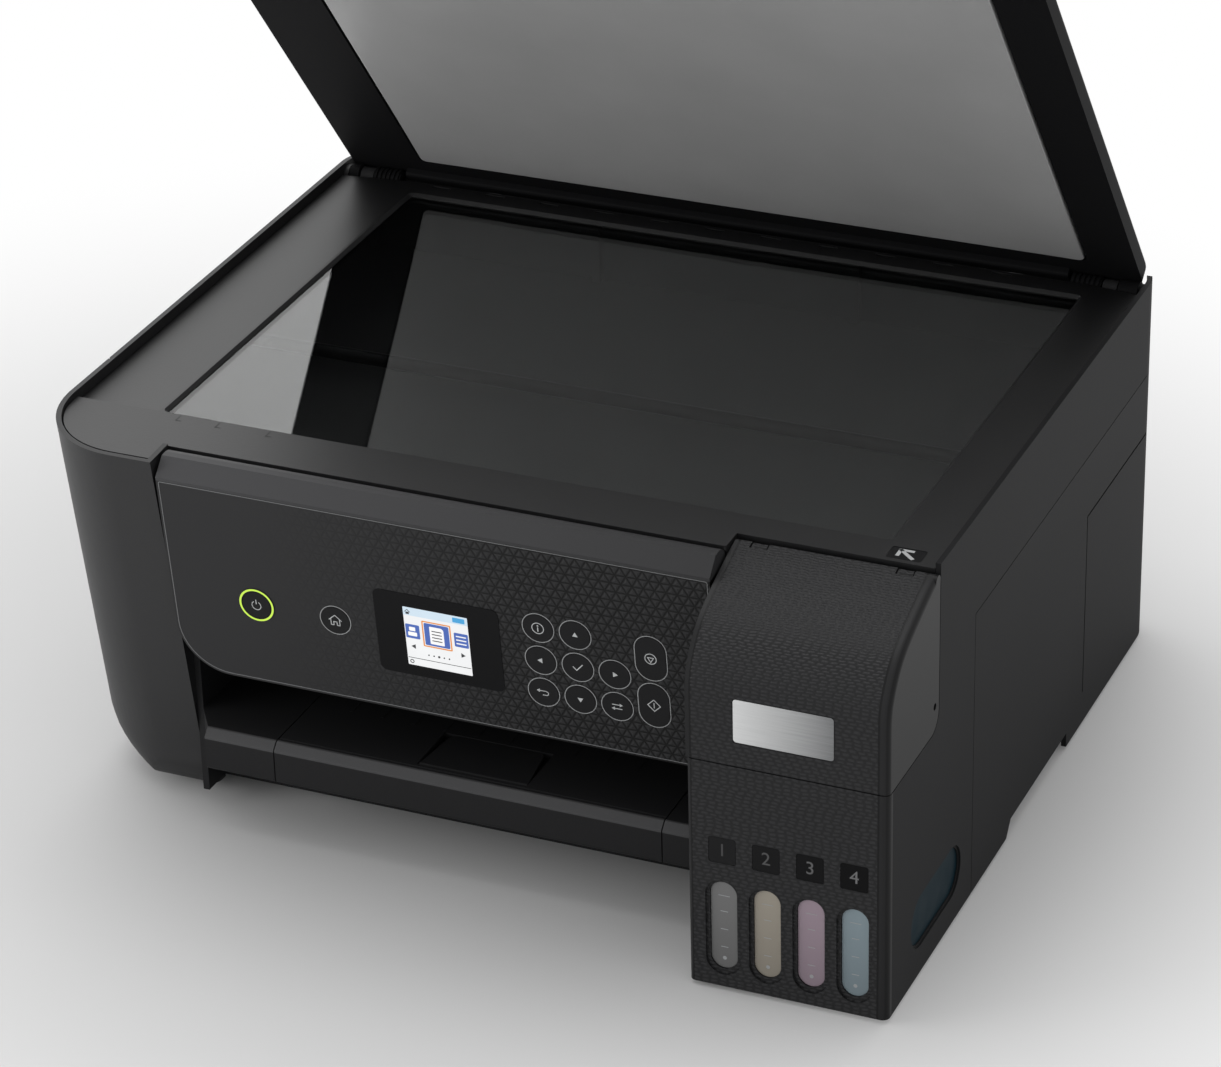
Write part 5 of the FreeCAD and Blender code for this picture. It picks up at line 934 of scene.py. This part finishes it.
class PRINTER_OT_stage(bpy.types.Operator):
    """Sets the floor, soft studio light and camera"""
    bl_idname = "printer.stage"
    bl_label = "Stage"

    def execute(self, context):
        self.floor()
        self.world()
        self.lamps()
        self.camera()
        context.scene.view_settings.view_transform = "Standard"
        return {"FINISHED"}

    def seen(self, tree):
        """One for rays that show the backdrop straight on, in a mirror or through glass, and else nought."""
        path = add_node(tree, "ShaderNodeLightPath")
        seen = add_node(tree, "ShaderNodeMath",
                        {0: path.outputs["Is Camera Ray"], 1: path.outputs["Is Glossy Ray"]},
                        operation="MAXIMUM")
        seen = add_node(tree, "ShaderNodeMath", {0: seen, 1: path.outputs["Is Transmission Ray"]},
                        operation="MAXIMUM")
        return seen

    def floor(self):
        """Pale floor that turns white away from the object."""
        bm = bmesh.new()
        bmesh.ops.create_grid(bm, x_segments=1, y_segments=1, size=8)
        mesh = bpy.data.meshes.new("floor")
        bm.to_mesh(mesh)
        bm.free()
        floor = bpy.data.objects.new("floor", mesh)
        bpy.context.scene.collection.objects.link(floor)
        material, tree, shader, place = new_material(
            "painted_floor", {"Roughness": 0.7, "Base Color": linear("#CECECE"), "Specular IOR Level": 0.2})
        spot = add_node(tree, "ShaderNodeVectorMath", {0: place, 1: SHADOW_SPOT}, operation="DISTANCE")
        away = add_node(tree, "ShaderNodeMapRange", {"Value": spot.outputs["Value"], 1: 0.2, 2: 0.6},
                        interpolation_type="SMOOTHSTEP")
        share = add_node(tree, "ShaderNodeMath", {0: self.seen(tree), 1: away}, operation="MULTIPLY")
        white = add_node(tree, "ShaderNodeEmission", {"Color": (1, 1, 1, 1), "Strength": 1.0})
        blend = add_node(tree, "ShaderNodeMixShader", {0: share, 1: shader, 2: white})
        tree.links.new(blend.outputs[0], tree.nodes["Material Output"].inputs["Surface"])
        mesh.materials.append(material)

    def world(self):
        """Grey sky with one soft glow behind the object, white where it is seen."""
        world = bpy.data.worlds.new("studio")
        bpy.context.scene.world = world
        world.use_nodes = True
        tree = world.node_tree
        ground = tree.nodes["Background"]
        place = add_node(tree, "ShaderNodeTexCoord").outputs["Generated"]
        lean = add_node(tree, "ShaderNodeVectorMath", {0: place, 1: SKY_GLOW}, operation="DOT_PRODUCT")
        glow = add_node(tree, "ShaderNodeMapRange",
                        {"Value": lean.outputs["Value"], 1: 0.3, 2: 0.95, 3: 0.55, 4: 1.5},
                        interpolation_type="SMOOTHSTEP")
        bright = add_node(tree, "ShaderNodeMath", {0: glow, 1: self.seen(tree)}, operation="MAXIMUM")
        tree.links.new(bright.outputs[0], ground.inputs["Strength"])
        ground.inputs["Color"].default_value = (1, 1, 1, 1)

    def lamps(self):
        """Two softboxes that face the object."""
        for name, spot, size, power in (("top_softbox", (-0.5, 0.2, 1.7), 1.2, 8),
                                        ("left_softbox", (-0.95, -0.75, 0.32), 0.6, 5.4)):
            light = bpy.data.lights.new(name, "AREA")
            light.size = size
            light.energy = power
            lamp = bpy.data.objects.new(name, light)
            lamp.location = spot
            lamp.rotation_euler = (Vector((0, 0, 0.1)) - Vector(spot)).to_track_quat("-Z", "Y").to_euler()
            bpy.context.scene.collection.objects.link(lamp)

    def camera(self):
        """Camera at the photograph's viewing angle."""
        around, down, roll = [math.radians(angle) for angle in CAMERA_TURN]
        ahead = Vector((math.sin(around) * math.cos(down), math.cos(around) * math.cos(down),
                        -math.sin(down)))
        right = ahead.cross(Vector((0, 0, 1))).normalized()
        up = right.cross(ahead)
        side = right * math.cos(roll) + up * math.sin(roll)
        top = up * math.cos(roll) - right * math.sin(roll)
        data = bpy.data.cameras.new("camera")
        data.sensor_width = 36
        data.sensor_fit = "HORIZONTAL"
        data.lens = data.sensor_width * CAMERA_FOCUS
        data.clip_end = 50
        camera = bpy.data.objects.new("camera", data)
        turn = Matrix((side, top, -ahead)).transposed().to_4x4()
        camera.matrix_world = Matrix.Translation(CAMERA_SPOT) @ turn
        bpy.context.scene.collection.objects.link(camera)
        bpy.context.scene.camera = camera


class PRINTER_PT_panel(bpy.types.Panel):
    """Lists the printer's pieces, sizes and colours"""
    bl_idname = "PRINTER_PT_panel"
    bl_label = "Inkjet printer"
    bl_space_type = "VIEW_3D"
    bl_region_type = "UI"
    bl_category = "Printer"

    def draw(self, context):
        for operator in OPERATORS:
            self.layout.operator(operator.bl_idname)
        for group in (context.scene.printer_sizes, context.scene.printer_colours):
            for name in group.__annotations__:
                self.layout.prop(group, name)


OPERATORS = (PRINTER_OT_finishes, PRINTER_OT_left_foot, PRINTER_OT_document_pad, PRINTER_OT_key_signs,
             PRINTER_OT_panel_trim, PRINTER_OT_display, PRINTER_OT_ink_windows, PRINTER_OT_badge_plate,
             PRINTER_OT_deck_marks, PRINTER_OT_stage)
CLASSES = (PrinterSizes, PrinterColours) + OPERATORS + (PRINTER_PT_panel,)


def register():
    for cls in CLASSES:
        bpy.utils.register_class(cls)
    bpy.types.Scene.printer_sizes = PointerProperty(type=PrinterSizes)
    bpy.types.Scene.printer_colours = PointerProperty(type=PrinterColours)


def unregister():
    del bpy.types.Scene.printer_colours
    del bpy.types.Scene.printer_sizes
    for cls in reversed(CLASSES):
        bpy.utils.unregister_class(cls)


def main():
    register()
    bpy.ops.printer.finishes()
    bpy.ops.printer.left_foot()
    bpy.ops.printer.document_pad()
    bpy.ops.printer.key_signs()
    bpy.ops.printer.panel_trim()
    bpy.ops.printer.display()
    bpy.ops.printer.ink_windows()
    bpy.ops.printer.badge_plate()
    bpy.ops.printer.deck_marks()
    bpy.ops.printer.stage()


if __name__ == "__main__":
    main()
